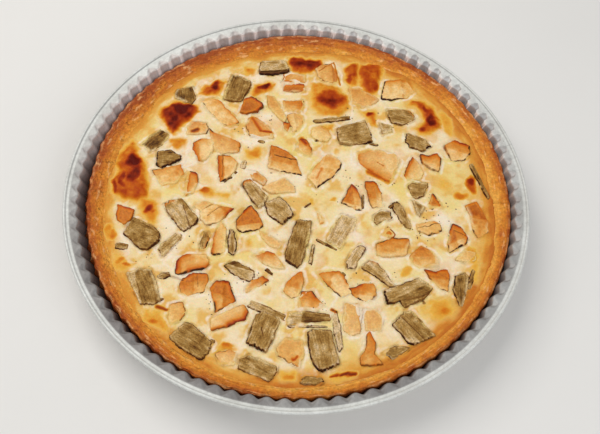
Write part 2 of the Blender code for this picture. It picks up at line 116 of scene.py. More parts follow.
# How brown it is baked there, from -1 pale to 1 dark.
CRUST_BAKE = (-0.60, -0.35, 0.05, 0.55, 0.85, 1.05, 1.35, 0.80,
              0.55, 0.00, -0.20, -0.30, -0.60, -0.50, -0.55, -0.45)
# Its section: share of the way from the outer to the inner edge, height, crag share.
CRUST_SECTION = (
    (-0.03, 20.0, 0.0),
    (-0.03, 22.0, 0.3),
    (-0.02, 23.2, 0.5),
    (0.04, 24.2, 0.7),
    (0.20, 24.8, 1.0),
    (0.48, 24.6, 1.0),
    (0.76, 24.0, 0.8),
    (1.00, 22.6, 0.4),
    (1.01, 20.0, 0.0),
)

# Custard
CUSTARD_CELLS = 304
CUSTARD_OVERLAP = 1.8 * MM
CUSTARD_EDGE_RISE = 0.6 * MM
CUSTARD_EDGE_WIDTH = 8 * MM
CUSTARD_FOOT = 14 * MM
GLOW_WIDTH = 15 * MM
# How far down its side turns in under the pastry, and how steeply it sinks under fruit.
WAIST_DROP = 2.5 * MM
SINK_SLOPE = 1.2

# Fruit, shreds and flecks
FRUIT_FOOT = 17 * MM
FRUIT_BEVEL = 0.9 * MM
FRUIT_CELL = 0.48 * MM
FRUIT_RINGS = 19
SHRED_TAPER = 0.2
SHRED_BOW = (0.03, 0.08)
SHRED_SLIP = 0.06
SHRED_SKEW = 0.05
# Toast and dark of a shred's edges, and how far the custard laps over it in millimetres.
SHRED_EDGE = (0, 5)
SHRED_SUNK = 0.7
FLECK_SIDES = 6
FLECK_LIMIT = 112 * MM
# How deep a node's top goes, and the most that it may rise along its fibres.
TOP_DEPTH = 1.3 * MM
MOST_TILT = 0.8 * MM
# The most that apple and rhubarb fall away right of a crease.
CREASE_FALL = (1.1 * MM, 0.5 * MM)
# How dark a piece's upright sides are at least.
WALL_DARK = 0.25
# How fast an apple's deeper colour fades from a toasted edge.
WARM_REACH = 4.0 * MM
# How far the custard laps over sunk apple and sunk rhubarb, and what their rise gains,
# in millimetres.
SUNK_REACH = (2.2, 0.9)
SUNK_RISE = 0.25

# Fruit by its corners as they show from above. Each row: node, or kind where it is sunk
# and has no node; turn of its fibres; tone (rhubarb -1 pale and grey to 1 dark brown,
# apple 0 pale to 1.35 deep orange); rise over the custard where it has no node; corners as
# (x, y), (x, y, dark) or (x, y, toast, dark), where toast and dark from 0 to 9 belong to
# the edge that starts there, the dark being partly dark skin and partly painted shadow;
# and creases as (x1, y1, x2, y2, shift): right of that line the top falls away and its
# tone shifts by tenths, painted shading of that facet, darker for a positive shift and
# paler for a negative one.
FRUIT = (
    ("rhubarb_01", 100, 0.5, 0, ((-88.5, 75), (-86.5, 79, 3), (-76, 81.5, 4), (-72.5, 70.5, 8),
        (-75, 65.5, 5), (-80, 67.5, 2), (-87, 71))),
    ("rhubarb_02", 80, 0.4, 0, ((-51, 94.5, 1), (-45.5, 93.5, 2), (-37, 89, 3), (-37, 84, 3),
        (-41.5, 69.5, 3), (-54.5, 71.5, 2), (-53, 86, 2))),
    ("rhubarb_03", 48, 0.7, 0, ((-104.5, 30, 1), (-99, 37.5, 1), (-93.5, 44, 3), (-86, 39.5),
        (-90, 29.5), (-97.5, 24))),
    ("rhubarb_04", 8, 0.3, 0, ((-92.5, 25, 9), (-84, 26.5, 9), (-77, 22.5, 8), (-76.5, 19.5, 9),
        (-88.5, 12, 6), (-92, 13.5, 8))),
    ("rhubarb_05", -20, 0.2, 0, ((-100, -25.5, 3), (-89, -30, 5), (-82.5, -35, 5), (-82, -40.5, 5),
        (-88, -48, 4), (-93, -47.5, 5), (-104.5, -37.5, 4), (-103, -32, 3))),
    ("rhubarb_06", -52, 0.05, 0, ((-83.5, -14.5, 5, 5), (-78, -11, 4), (-71.5, -10, 4),
        (-60.5, -23.5, 6), (-61.5, -27.5, 5), (-68, -34.5, 5), (-76.5, -25, 3)),
        (-75, -12, -62, -28, -2)),
    ("rhubarb_07", 85, 0.15, 0, ((-56.5, -32.5, 4), (-53, -32, 2, 5), (-51.5, -37.5, 4, 6),
        (-53, -45, 4), (-56.5, -46.5, 4), (-57.8, -41, 4))),
    ("rhubarb_08", -80, -0.2, 0, ((-40.5, -29.5, 8), (-37.5, -30.5, 8), (-35, -37.5, 8),
        (-34.5, -44, 8), (-36.5, -48, 7), (-39.8, -46.5, 8), (-41, -37.5, 9))),
    ("rhubarb_09", -52, -0.42, 0, ((-36, 3.5, 5, 6), (-33.5, 7, 6, 7), (-30, 7, 4), (-19, -4.5, 2),
        (-20, -10), (-23.5, -14, 4), (-29, -8, 4))),
    ("rhubarb_10", -38, -0.35, 0, ((-20, -10, 3), (-11.5, -4, 7), (-7, -8, 8), (-1, -16.5, 8),
        (-8.5, -24.5, 5), (-17.5, -19, 5))),
    ("rhubarb_11", 82, 0.2, 0, ((0.5, -21, 6), (10, -21, 3), (10, -27.5, 2), (7, -42.5, 4),
        (5, -52, 5), (2.5, -54, 5), (-4.5, -49.5, 6), (-5.5, -44, 6), (-2, -30, 6))),
    ("rhubarb_12", 65, -0.8, 0, ((28, -14, 2), (38.5, -17.5, 2), (37.5, -22.5, 1), (32.5, -31.5, 1),
        (28, -40, 1), (20, -35), (19, -31.5, 1), (24, -21.5, 1))),
    ("rhubarb_13", 62, -0.3, 0, ((40, -35, 7), (44, -37.5, 4), (36.5, -53, 6), (32, -52.5, 5),
        (31.5, -47.5, 7), (34.5, -40, 7)), (39.5, -35, 33, -51, -3)),
    ("rhubarb_14", -37, -0.6, 0, ((40, -51.5, 5), (45.5, -46, 3, 5), (51, -48, 4), (57, -56.5, 3),
        (62, -62.5, 4), (59, -64, 5), (49, -57, 6)), (44, -49, 59, -62, 3)),
    ("rhubarb_15", 20, 0.15, 0, ((48, -14, 4), (53, -10, 4), (59, -10.5, 6), (60, -16, 3),
        (54, -18.5, 3), (49.5, -21, 4), (48, -18, 5))),
    ("rhubarb_16", -65, 0.15, 0, ((59.5, -4, 9), (63, -2.5, 6), (66.5, -6, 3), (72, -20, 4),
        (70.5, -22.5, 4), (67.5, -21.5, 4), (63, -13.5, 5), (60, -9, 7))),
    ("rhubarb_17", 0, 0.1, 0, ((70, 10.5, 4), (73, 13, 2), (83.5, 13.5, 4), (83, 10, 4), (80, 2.5, 4),
        (76, 0.5, 4), (73, 1, 5), (70.5, 6, 4))),
    ("rhubarb_18", 22, -0.2, 0, ((54, -66, 5), (75, -56.5, 2), (80, -59, 2), (84, -62.5, 3),
        (79, -69, 3), (66, -76.5, 6), (63.5, -72.5, 6), (56, -74.5, 7)), (57, -73.5, 81, -60, 3)),
    ("rhubarb_19", 88, 0.4, 0, ((97, -52.5, 4), (103.5, -51, 3), (105.5, -53, 2), (103.5, -65, 2),
        (101, -74, 4), (98, -73.5, 6), (95.5, -62, 9))),
    ("rhubarb_20", -48, 0.1, 0, ((58.5, -87, 4), (66, -78.5, 2), (71, -78.5, 2), (78, -87, 3),
        (84, -92.5, 4), (71.5, -99.5, 6), (67.5, -98.5, 5)), (64, -82, 75, -97, -2)),
    ("rhubarb_21", -76, -0.2, 0, ((10, -95, 6), (13, -93, 5), (24, -93, 4), (29.5, -113, 5),
        (25, -115.5, 6), (18, -118, 7), (14, -113, 7), (11, -104, 7))),
    ("rhubarb_22", 0, 0.6, 0, ((-2, -87.5, 2), (-1, -83, 2), (7.5, -82, 5), (23.5, -82.5, 6),
        (24, -87.5, 4), (10, -88.5, 3), (-1, -91, 2)), (7.5, -80, 6.5, -92, -6)),
    ("rhubarb_23", 72, 0.1, 0, ((-20, -86.5, 3), (-15.5, -84, 3), (-8, -86, 3), (-5.5, -90, 2),
        (-8.5, -100, 3), (-12.5, -108, 5), (-24.5, -104, 6), (-21.5, -94, 4))),
    ("rhubarb_24", -22, -0.1, 0, ((-27, -113.5, 4), (-22, -110, 2), (-5, -116, 3), (-5, -120, 4),
        (-9.5, -126, 3), (-14, -124, 4), (-27.5, -119, 3))),
    ("rhubarb_25", -30, 0.25, 0, ((-67, -102, 3), (-60, -93.5, 5), (-55, -94, 5), (-42.5, -105, 5),
        (-47, -115.5, 5), (-50, -115, 5), (-67.5, -104.5, 4))),
    ("rhubarb_26", -65, 0.2, 0, ((-98, -64), (-91, -60.5), (-84, -60, 2), (-80, -67.5), (-76, -80, 3),
        (-78.5, -83.5, 4), (-87, -83.5, 3), (-92.5, -75, 1)), (-94, -62, -86, -84, -5)),
    ("rhubarb_27", -22, -0.5, 0, ((-42, -55, 7), (-38, -52, 7), (-33.5, -52, 5), (-23, -57, 3),
        (-22, -60, 4), (-25, -65.5, 5), (-35, -61.5, 6)), (-22, -58.5, -42, -53.5, 6)),
    ("rhubarb_28", 5, -0.4, 0, ((-31.5, 107.5, 3), (-14, 109.5, 2), (-10.8, 101.5, 7), (-12, 98.5, 9),
        (-21, 96.3, 9), (-31, 95.5, 6), (-31.8, 98, 4)), (-32, 97.5, -10, 101.2, 14)),
    ("rhubarb_29", 20, 0.05, 0, ((23, 52, 5), (33, 56.5, 3), (42.5, 61, 4), (45, 54, 5),
        (47.8, 43, 6), (41, 39.5, 2), (27, 39.5, 2), (24, 42.5, 5))),
    ("rhubarb_30", -12, 0.05, 0, ((57, 71, 5), (65, 72, 2, 5), (73.5, 71.5, 4, 5), (76.5, 67, 3),
        (75.5, 62.5, 4), (67.5, 58, 4), (60.5, 60, 4), (57, 65, 5))),
    ("rhubarb_31", -22, 0.1, 0, ((70, 51.5, 5), (73.5, 51, 3), (82.5, 47, 7), (87, 42.5, 7),
        (83.5, 39.5, 3), (80, 37.5, 4), (72.5, 40, 6), (69, 44, 7))),
    ("apple_01", -42, 0.15, 0, ((-70, 70, 2, 1), (-60, 72.5, 4, 2), (-57.5, 71.5, 4, 3),
        (-42.5, 55, 5, 4), (-41.5, 52.5, 4, 5), (-47.5, 49, 6), (-54, 51.5, 6), (-65, 62.5, 8)),
        (-68, 66, -48, 54.5, 1)),
    ("apple_02", 108, 0.1, 0, ((-70.5, 34.5, 6, 6), (-66, 37, 3, 3), (-60, 37.5), (-56.5, 35),
        (-57, 27.5), (-60, 21.5), (-65, 19, 5, 1), (-67.5, 24, 6, 1), (-70, 29, 7, 4)),
        (-68, 36, -63, 18, 3)),
    ("apple_03", -90, 0.25, 0, ((-53.5, 25.5, 5, 5), (-45, 24.5, 3, 1), (-39.5, 20), (-41.5, 11, 3),
        (-46, 5.5, 3, 7), (-50, 3.5, 6, 4), (-51.5, 12, 7, 2)), (-49.5, 26, -47, 5, 5)),
    ("apple_04", 12, 0.35, 0, ((-94.5, 11, 3, 8), (-88, 12, 3, 2), (-76, 16.5, 4, 0), (-73.5, 9),
        (-77, 2), (-86, -1.5), (-91, 5, 2, 3))),
    ("apple_05", 115, 1.1, 0, ((-111.5, -17, 8, 4), (-100, -20, 5, 2), (-100.5, -26, 3, 0),
        (-104.5, -31, 3, 0), (-110.5, -28, 6, 4))),
    ("apple_06", 12, 0.25, 0, ((-60, -18), (-53, -13, 2), (-47.5, -12.5, 2, 2), (-38.5, -14.5, 9, 3),
        (-42, -19, 2), (-47.5, -26.5, 3), (-55, -28, 2), (-59, -24)), (-42, -20, -52, -12, 3)),
    ("apple_07", 90, 1.0, 0, ((-28.5, -12.5, 7, 6), (-23.5, -18, 4, 3), (-19.5, -26.5, 5),
        (-24.5, -30, 6), (-32.5, -32.5, 5), (-35.5, -30, 4), (-37, -24, 5, 7), (-33, -17, 9, 8)),
        (-37, -28.5, -19, -24.5, -6)),
    ("apple_08", -15, 0.65, 0, ((-19.5, 35, 7, 5), (-15.5, 34.5, 6, 5), (-7, 30, 4, 3),
        (-2.5, 24.5, 2, 2), (2, 13, 8), (-3, 14, 6), (-11.5, 14.5, 2), (-20.5, 18), (-20, 25, 3, 2)),
        (-21, 23, 0, 18.5, -3)),
    ("apple_09", 50, 0.25, 0, ((5.5, 12.5, 4), (10, 21.5, 3, 4), (15, 29, 1), (20, 31, 1),
        (25, 28, 4), (27.5, 24, 8), (26.5, 20, 8), (22.5, 13, 7), (18, 9, 6), (11.5, 3.5, 5),
        (8.5, 8, 2)), (17, 31, 12, 3, -2)),
    ("apple_10", 78, 0.55, 0, ((34, 8, 9, 7), (38, 4, 4, 3), (40.5, -3, 2), (40.5, -11.5, 6),
        (36.5, -10.5, 8), (27.5, -6, 3, 7), (29.5, -1.5, 6, 4), (32, 4.5, 8, 6)), (34, 9, 37, -12, 3),
        (27, -4.5, 41, -9.5, -6)),
    ("apple_11", 97, 0.7, 0, ((42.5, 11, 9, 6), (50.5, 10.5, 6, 3), (52.5, 4, 1), (54.5, -7.5, 3),
        (47.5, -8.5, 4), (45, -1.5, 3, 3), (42.5, 6.5, 6, 4)), (50.5, -9, 48.5, 11, -4),
        (44, -2, 55, -3, -2)),
    ("apple_12", 95, 0.5, 0, ((78, 35, 9, 8), (84, 34, 8, 5), (90, 36, 7, 6), (92.5, 32, 3, 7),
        (91.5, 26, 5), (90.5, 21, 3), (85, 24, 2), (80, 28, 4, 4))),
    ("apple_13", 5, 0.45, 0, ((95, 43.5, 3, 3), (102, 48, 9, 4), (111.5, 43.5, 2, 7), (112, 37.5, 8),
        (108.5, 32, 6), (99, 30.5, 4), (97.5, 36, 2, 3)), (96, 41, 112, 36, -2)),
    ("apple_14", 65, 0.6, 0, ((97, -17, 9, 8), (102.5, -19, 6, 5), (106.5, -27.5, 4, 6),
        (105, -31, 8), (94.5, -38, 4), (93.5, -31, 2), (95, -24, 6, 5)), (93, -32.5, 107, -26, -4),
        (97, -17, 99, -27, 3)),
    ("apple_15", 108, 0.85, 0, ((105.5, -3, 5, 2), (113.5, 0.5, 5, 2), (116.5, -6, 2, 1),
        (120, -16, 2), (120, -21.5, 6), (112.5, -27, 5), (110, -20, 1), (108, -10, 1)),
        (107, -11, 119, -14, -3)),
    ("apple_16", 8, 0.5, 0, ((49.5, -34.5, 5, 6), (60, -30, 6, 9), (69.5, -29.5, 2, 5), (70.5, -33),
        (68, -41), (58, -43), (50, -42.5))),
    ("apple_17", 92, 0.95, 0, ((78.5, -50.5, 9, 6), (85, -51.5, 7, 3), (92.5, -50, 6, 3),
        (93.5, -54, 2, 3), (92.5, -64, 4), (88, -63, 2), (83, -58, 3, 3)), (82, -56, 94, -57, -3)),
    ("apple_18", 0, 0.55, 0, ((33.5, -65.5, 9, 6), (40, -63, 3, 3), (48.5, -61.5, 2, 2), (50, -69, 3),
        (44, -74.5, 7), (37, -71, 3, 5)), (41, -60, 39, -75, 3), (34, -69, 51, -71, -4)),
    ("apple_19", -56, 0.1, 0, ((13.5, -56.5, 5, 3), (20, -54, 6, 3), (28, -54.5, 5, 5), (33, -62),
        (36, -68), (29, -71.5, 2, 5), (21, -64.5, 4, 7)), (25, -53, 22, -68, 3)),
    ("apple_20", 70, 0.6, 0, ((-5.5, -70, 2, 1), (-3, -64.5, 4, 2), (3, -57.5, 6, 2),
        (5.5, -56.5, 3, 2), (7, -63, 2), (4, -73.5, 4), (0, -74.5, 3)), (-6, -66, 7, -69, -3)),
    ("apple_21", 110, 1.0, 0, ((-45, -65.5, 9, 7), (-37, -65.5, 8, 6), (-32.5, -75.5, 8, 4),
        (-32, -78.5, 5, 4), (-37, -82, 4, 4), (-43.5, -87, 5, 7), (-44.5, -80, 4, 0),
        (-48, -71, 6, 3)), (-39, -86, -41, -65, 3), (-48, -74, -32, -77, -4)),
    ("apple_22", 20, 0.8, 0, ((-67, -70, 4, 5), (-65, -65, 8, 8), (-59, -61.5, 7, 6),
        (-50.5, -61.5, 4, 3), (-48.8, -67, 5), (-51, -73.5, 5), (-60.5, -77, 6), (-65.5, -74.5, 7)),
        (-67, -68, -49, -66, -3), (-58, -61, -57, -78, 2)),
    ("apple_23", 192, 0.4, 0, ((-70, -52.5, 7, 4), (-63, -49.5), (-52, -49), (-50, -55, 5, 2),
        (-52.5, -58.5, 7, 6), (-61, -60.5, 5), (-68, -63.5, 5, 6), (-70.5, -61, 9, 5)),
        (-67, -49, -66, -65, 3)),
    ("apple_24", 85, 0.6, 0, ((44, -94, 5, 3), (46, -92, 6, 3), (49.5, -99, 3, 3), (49, -106, 3, 3),
        (54, -111.5, 3, 3), (48, -113, 2, 3), (41, -112.5, 2, 4), (41, -108, 2, 3),
        (44, -102, 2, 3))),
    ("apple_25", 15, 0.1, 0, ((55.5, 96.5, 5, 2), (70, 99.5, 3), (73, 98, 3), (77, 89, 3),
        (72.5, 84, 2), (70, 82.5, 6), (60, 79.5, 9), (53, 80, 9), (54, 89, 9)), (69, 82, 67, 100, 1)),
    ("apple_26", 30, 1.35, 0, ((-40, 72.5, 8, 3), (-35.5, 75.5, 9, 8), (-28, 70.5, 9, 7),
        (-27, 67, 8, 4), (-30, 63, 5, 3), (-37.5, 59.5, 3, 2), (-42, 61, 3, 2), (-41, 67.5, 5, 2))),
    ("rhubarb", 50, 0.0, 0.9, ((-73, -35, 2), (-69, -37, 1), (-75, -47.5), (-79, -52, 3),
        (-82, -47.5, 2), (-80, -42.5))),
    ("rhubarb", -60, 0.1, 1.3, ((72, -1, 2), (75.5, -2, 1), (80.5, -6, 1), (77, -13, 2),
        (74.5, -9, 2))),
    ("rhubarb", 25, 0.1, 1.0, ((52.5, -105, 5), (60, -100, 4), (70, -100, 3), (67, -103.5, 3),
        (58.5, -109, 5))),
    ("rhubarb", -3, 0.4, 1.8, ((7.5, -125, 5), (10, -121, 3), (20, -121.5, 4), (21, -124, 8),
        (19, -125.5, 3), (10, -126, 3))),
    ("rhubarb", 0, -0.3, 1.2, ((51.5, 60, 1), (59.5, 57.5, 2), (60.5, 52.5, 1), (54, 49, 2),
        (52.5, 54, 1))),
    ("apple", 90, 0.76, 1.2, ((4, -75, 5, 3), (6, -70, 7, 5), (12.5, -68.5, 9, 7), (14.5, -72, 3, 2),
        (20, -78), (16, -81.5), (5, -80.5)), (4, -74, 18, -76, -3)),
    ("apple", 100, 0.4, 1.1, ((-7, -105), (-2.5, -99), (8.5, -100), (9.5, -107.5, 2), (7, -117, 3, 3),
        (0, -113.5, 2, 4), (-6, -110, 2))),
    ("apple", 60, 0.5, 1.1, ((7, 104, 4), (12, 108.5, 6), (19, 110, 5, 4), (24.5, 100, 4, 2),
        (24.5, 92, 3, 4), (17, 91, 3), (9, 96, 2)), (20, 92, 18, 110, 2)),
    ("apple", 0, 0.7, 1.1, ((-14, 74, 5, 3), (-7, 73.5, 6, 4), (0, 75.5, 8, 5), (1, 70, 2, 2),
        (0, 64.5, 2), (-6, 66, 1), (-13, 64)), (-14, 70, 1, 69, -2)),
    ("apple", 75, 0.15, 0.9, ((-10.5, 61.5, 2, 4), (-4, 64.5, 2, 6), (0.5, 62, 2, 6), (1.5, 56, 5),
        (-1, 50, 6), (-5, 45.5, 6), (-8, 52, 3, 3)), (-3, 46, -6, 64, 2)),
    ("apple", 90, 1.2, 0.9, ((-12.5, 55.5, 9, 8), (-7.5, 55, 8, 4), (-7, 49, 3, 0), (-9, 47),
        (-12, 50, 2, 0))),
    ("apple", 92, 0.65, 0.9, ((-72, 12, 9, 7), (-65, 9.5, 5, 3), (-63.5, 3), (-66, -5),
        (-71, -8, 7, 4), (-71.5, 2, 9, 5)), (-68.5, 12, -69, -8, 3)),
    ("apple", 10, 0.5, 1.0, ((-36, 57.5, 4, 3), (-30, 58, 2, 0), (-22, 51), (-19, 46, 2, 0),
        (-18, 41.5, 2), (-25, 40, 4), (-34.5, 42, 4), (-37, 50, 2, 2))),
    ("apple", 20, 0.35, 1.0, ((-70, -82.5, 2, 5), (-62.5, -80.5, 3, 4), (-59.5, -86, 3, 4),
        (-62.5, -92.5, 2), (-67.5, -95), (-70.5, -90))),
    ("apple", 97, 0.2, 0.8, ((-46, -23, 3, 3), (-42, -30), (-41.5, -46), (-44.5, -48.5, 3, 7),
        (-50, -48, 7, 3), (-50, -42, 4, 0), (-48.5, -32))),
    ("apple", 0, 0.5, 0.9, ((-15, 97.5), (-10, 99), (0.5, 97.5), (0.5, 90.5, 4, 0), (-15, 91, 6, 3))),
    ("apple", 0, 1.2, 0.9, ((-16, 90.5, 9, 5), (0.5, 89.5, 5, 2), (1, 82, 3), (-15, 81.5, 4)),
        (-7, 91, -8, 81, 2)),
    ("apple", -62, 0.4, 0.8, ((-25.5, 78, 3, 2), (-20.5, 77), (-15.5, 70), (-10.5, 59, 3), (-11, 55),
        (-17, 60), (-24, 69, 3, 3))),
    ("apple", -30, 0.3, 0.9, ((37, 34, 4, 1), (45, 37.5), (62, 35), (66, 29), (63, 21, 3),
        (60.5, 14, 7), (57.5, 10.5, 7, 3), (52, 14, 9, 2), (44, 19.5, 8, 1), (38, 24, 6, 0)),
        (50, 38, 62, 12, 1)),
    ("apple", 15, 0.25, 0.7, ((-23, 2.5), (-16, 6.5), (-8.5, 11), (-2, 4), (-2, 0), (-17.5, -2))),
    ("apple", -55, 0.6, 0.8, ((-33, 15), (-26, 14, 2), (-20, 9), (-22, 4), (-29, 8))),
    ("apple", -25, 0.35, 0.9, ((-25, -47, 3, 0), (-19, -43.5, 7, 3), (-12, -45, 2, 0), (-8, -50),
        (-5, -55), (-12, -55), (-20, -51)), (-16, -43, -19, -53, 3)),
    ("apple", 40, 0.2, 0.9, ((-46, -90), (-36, -84, 2, 3), (-27, -79.5, 4, 5), (-24, -84, 8, 3),
        (-26, -90, 9, 2), (-34, -93.5, 5, 3), (-44, -97, 2))),
    ("apple", -86, 0.3, 0.9, ((31, -75, 2, 0), (39.5, -75.5, 2, 2), (41, -94, 2), (35, -95.5, 3),
        (31, -93))),
    ("apple", 90, 0.35, 0.8, ((42, -78), (50, -77.5), (54, -84), (53, -91), (44, -92))),
    ("apple", -20, 0.65, 1.0, ((70, -41, 4, 2), (77.5, -33.5, 2, 2), (84, -37.5, 2, 0), (88, -42.5),
        (87.5, -47.5), (76, -49.5, 2), (71, -46, 2)), (70, -42, 88, -41, -3)),
    ("apple", 8, 0.3, 0.8, ((75, -18.5, 2, 0), (86, -15.5, 4, 0), (90.5, -17.5, 2, 5),
        (91, -22.5, 3, 6), (82.5, -25.5, 3), (75.5, -23.5))),
    ("apple", -80, 0.25, 0.8, ((68, 17.5, 7, 4), (70.5, 26.5, 8, 5), (73.8, 33, 3, 3), (78, 28),
        (80.5, 20), (79, 15), (70, 14.5))),
    ("apple", -15, 0.5, 0.8, ((-61.5, 47.5, 6, 5), (-58.5, 43.5, 4, 1), (-40, 36.5, 4, 3),
        (-40, 29, 2), (-50, 26), (-57, 30))),
    ("apple", 10, 0.45, 1.0, ((-73, 51.5, 3, 3), (-63, 51, 2, 4), (-61.5, 46, 5), (-62.5, 42, 2),
        (-75, 40), (-77, 44))),
    ("apple", 20, 0.3, 0.8, ((-65, -15), (-58, -10.5), (-53, -12), (-59, -18.5))),
    ("apple", 95, 1.3, 0.9, ((86, 5, 9, 9), (90.5, -1, 8, 5), (92, -5.5, 2), (84, -6, 2),
        (83, -3.5, 4, 2)), (83, -3, 92, -3.5, -4)),
    ("apple", 90, 0.9, 0.8, ((53.5, -28, 6, 2), (57, -21.5, 9, 3), (62, -27, 7, 2), (60, -30, 4, 0))),
    ("apple", 20, 0.25, 0.8, ((98, -42), (104, -34.5, 2), (111, -36, 2), (110, -41.5, 2),
        (105, -44.5, 3))),
    ("apple", 40, 0.65, 0.8, ((-24, -64, 5, 2), (-17.5, -60.5, 8, 4), (-13.5, -63, 5, 3),
        (-17, -66, 2, 0), (-27, -73), (-27.5, -69))),
    ("apple", -20, 0.3, 0.9, ((-41, -111, 3, 4), (-33, -107.5, 3, 0), (-28, -110), (-29, -117),
        (-38, -118, 3, 4))),
    ("apple", -10, 0.5, 0.8, ((31, 88), (38, 89, 2, 0), (46, 84, 2, 0), (52, 80, 2), (47, 74, 2),
        (41, 71, 2), (33, 75))),
    ("apple", -10, 0.15, 0.7, ((7, 52), (13, 54.5, 4, 0), (18, 51, 3, 0), (20, 46, 2), (18, 41.5),
        (10, 42), (6.5, 46))),
    ("apple", 60, 0.35, 0.8, ((0, 42, 9, 4), (3.5, 42, 6, 4), (8, 34, 2, 2), (7, 28), (3, 29),
        (-3, 33), (-2.5, 37.5))),
    ("apple", -30, 0.3, 0.8, ((-22.5, -29), (-17.5, -32), (-6, -38), (-9, -41.5), (-15, -40),
        (-20, -35))),
    ("apple", -72, 0.1, 0.7, ((12.5, -14), (15, -15), (18, -22, 4, 0), (15, -23, 2, 0))),
)
# Blisters of the custard: rise in millimetres, brownness, and corners.
BLISTERS = (
    (1.9, 0.8, ((-96, 62), (-88, 66.5), (-73, 65), (-70.5, 60.5), (-78, 50), (-84, 41), (-92, 49),
        (-96, 56))),
    (1.4, 0.55, ((-71.5, 76), (-70, 80), (-66, 84.5), (-60, 90), (-54.5, 88.5), (-54.5, 82),
        (-59, 76.5), (-66, 73.5))),
    (1.4, 0.78, ((-11, 112), (-8, 114.5), (11, 113.5), (13, 108), (11.5, 103), (4, 101), (-8, 101.5),
        (-11.5, 107))),
    (1.7, 0.54, ((28, 106), (31, 110), (36, 110.5), (37, 104), (36.5, 91.5), (32.5, 90.5),
        (28.5, 96))),
    (1.9, 0.54, ((37.5, 110), (43, 112), (52, 110.5), (54.5, 105), (53, 97), (50, 86.5), (46.5, 84),
        (41, 90), (38, 95))),
    (1.3, 0.3, ((5, 90.5), (20, 91), (30, 83), (32.5, 71), (26, 64), (12, 63.5), (5, 69), (4, 82))),
    (1.6, 0.52, ((71, 77), (74, 80.5), (84, 81), (89, 75), (92.5, 66), (93, 59), (86, 52.5),
        (79, 51.5), (75, 55), (80, 59.5), (83.5, 65), (81, 71), (77, 74.5))),
    (1.1, 0.42, ((-34, 87.5), (-26, 89.5), (-20, 89), (-21.5, 85), (-26, 82.5), (-31, 78),
        (-35, 77.5), (-35.5, 82.5))),
    (2, 0.5, ((-111, 34), (-107, 27), (-101.5, 19), (-97.5, 11), (-95, -1.5), (-94, -8.5),
        (-99, -12.5), (-113.5, -10), (-118, -7), (-117, 1.5), (-115.5, 9), (-117, 20), (-115, 28))),
    (0.9, 0.38, ((-99, -9), (-90, -10), (-86.5, -15), (-86.5, -21), (-89, -28.5), (-92.5, -26),
        (-94.5, -18.5))),
    (0.9, 0.42, ((40, 67.5), (49, 67.5), (49.5, 62.5), (49, 56), (46.5, 57.5), (44, 62.5))),
    (0.8, 0.33, ((-86, 35.5), (-80, 37.5), (-75, 36), (-74.5, 30), (-80, 27.5), (-86, 29.5))),
    (0.6, 0.26, ((-62.5, 0.5), (-55, -0.5), (-52.5, -3.5), (-42, -5), (-42, -7.5), (-52, -7),
        (-60, -6), (-63, -3.5))),
    (0.7, 0.28, ((-39, -106.5), (-30, -103), (-28, -107.5), (-31, -110), (-37.5, -108.5),
        (-42.5, -110))),
    (0.5, 0.26, ((-4, -117.5), (4, -118), (4, -123.5), (-2.5, -124), (-4.5, -121))),
    (1.2, 0.12, ((73, -74), (82.5, -67), (91, -66), (97, -72.5), (97.5, -76), (92.5, -82.5),
        (82.5, -84), (75, -79))),
    (0.8, 0.18, ((-107, -51), (-103, -52), (-96, -59), (-101, -64), (-106, -63), (-108, -57))),
    (0.7, 0.22, ((-83, -87), (-74, -88), (-69.5, -94), (-69, -101), (-73, -99), (-79, -96),
        (-84, -92))),
    (0.3, 0.26, ((-37, 32), (-26, 32), (-25.5, 25), (-35, 24.5))),
    (0.3, 0.3, ((-42.5, 102), (-36.5, 102), (-36.5, 95), (-41.5, 95))),
    (0.2, 0.28, ((14, 54), (22.5, 55.5), (22, 50.5), (17.5, 51))),
    (0.4, 0.2, ((105.5, -31), (112, -33), (114, -44), (110, -57), (107, -56), (107, -44))),
)
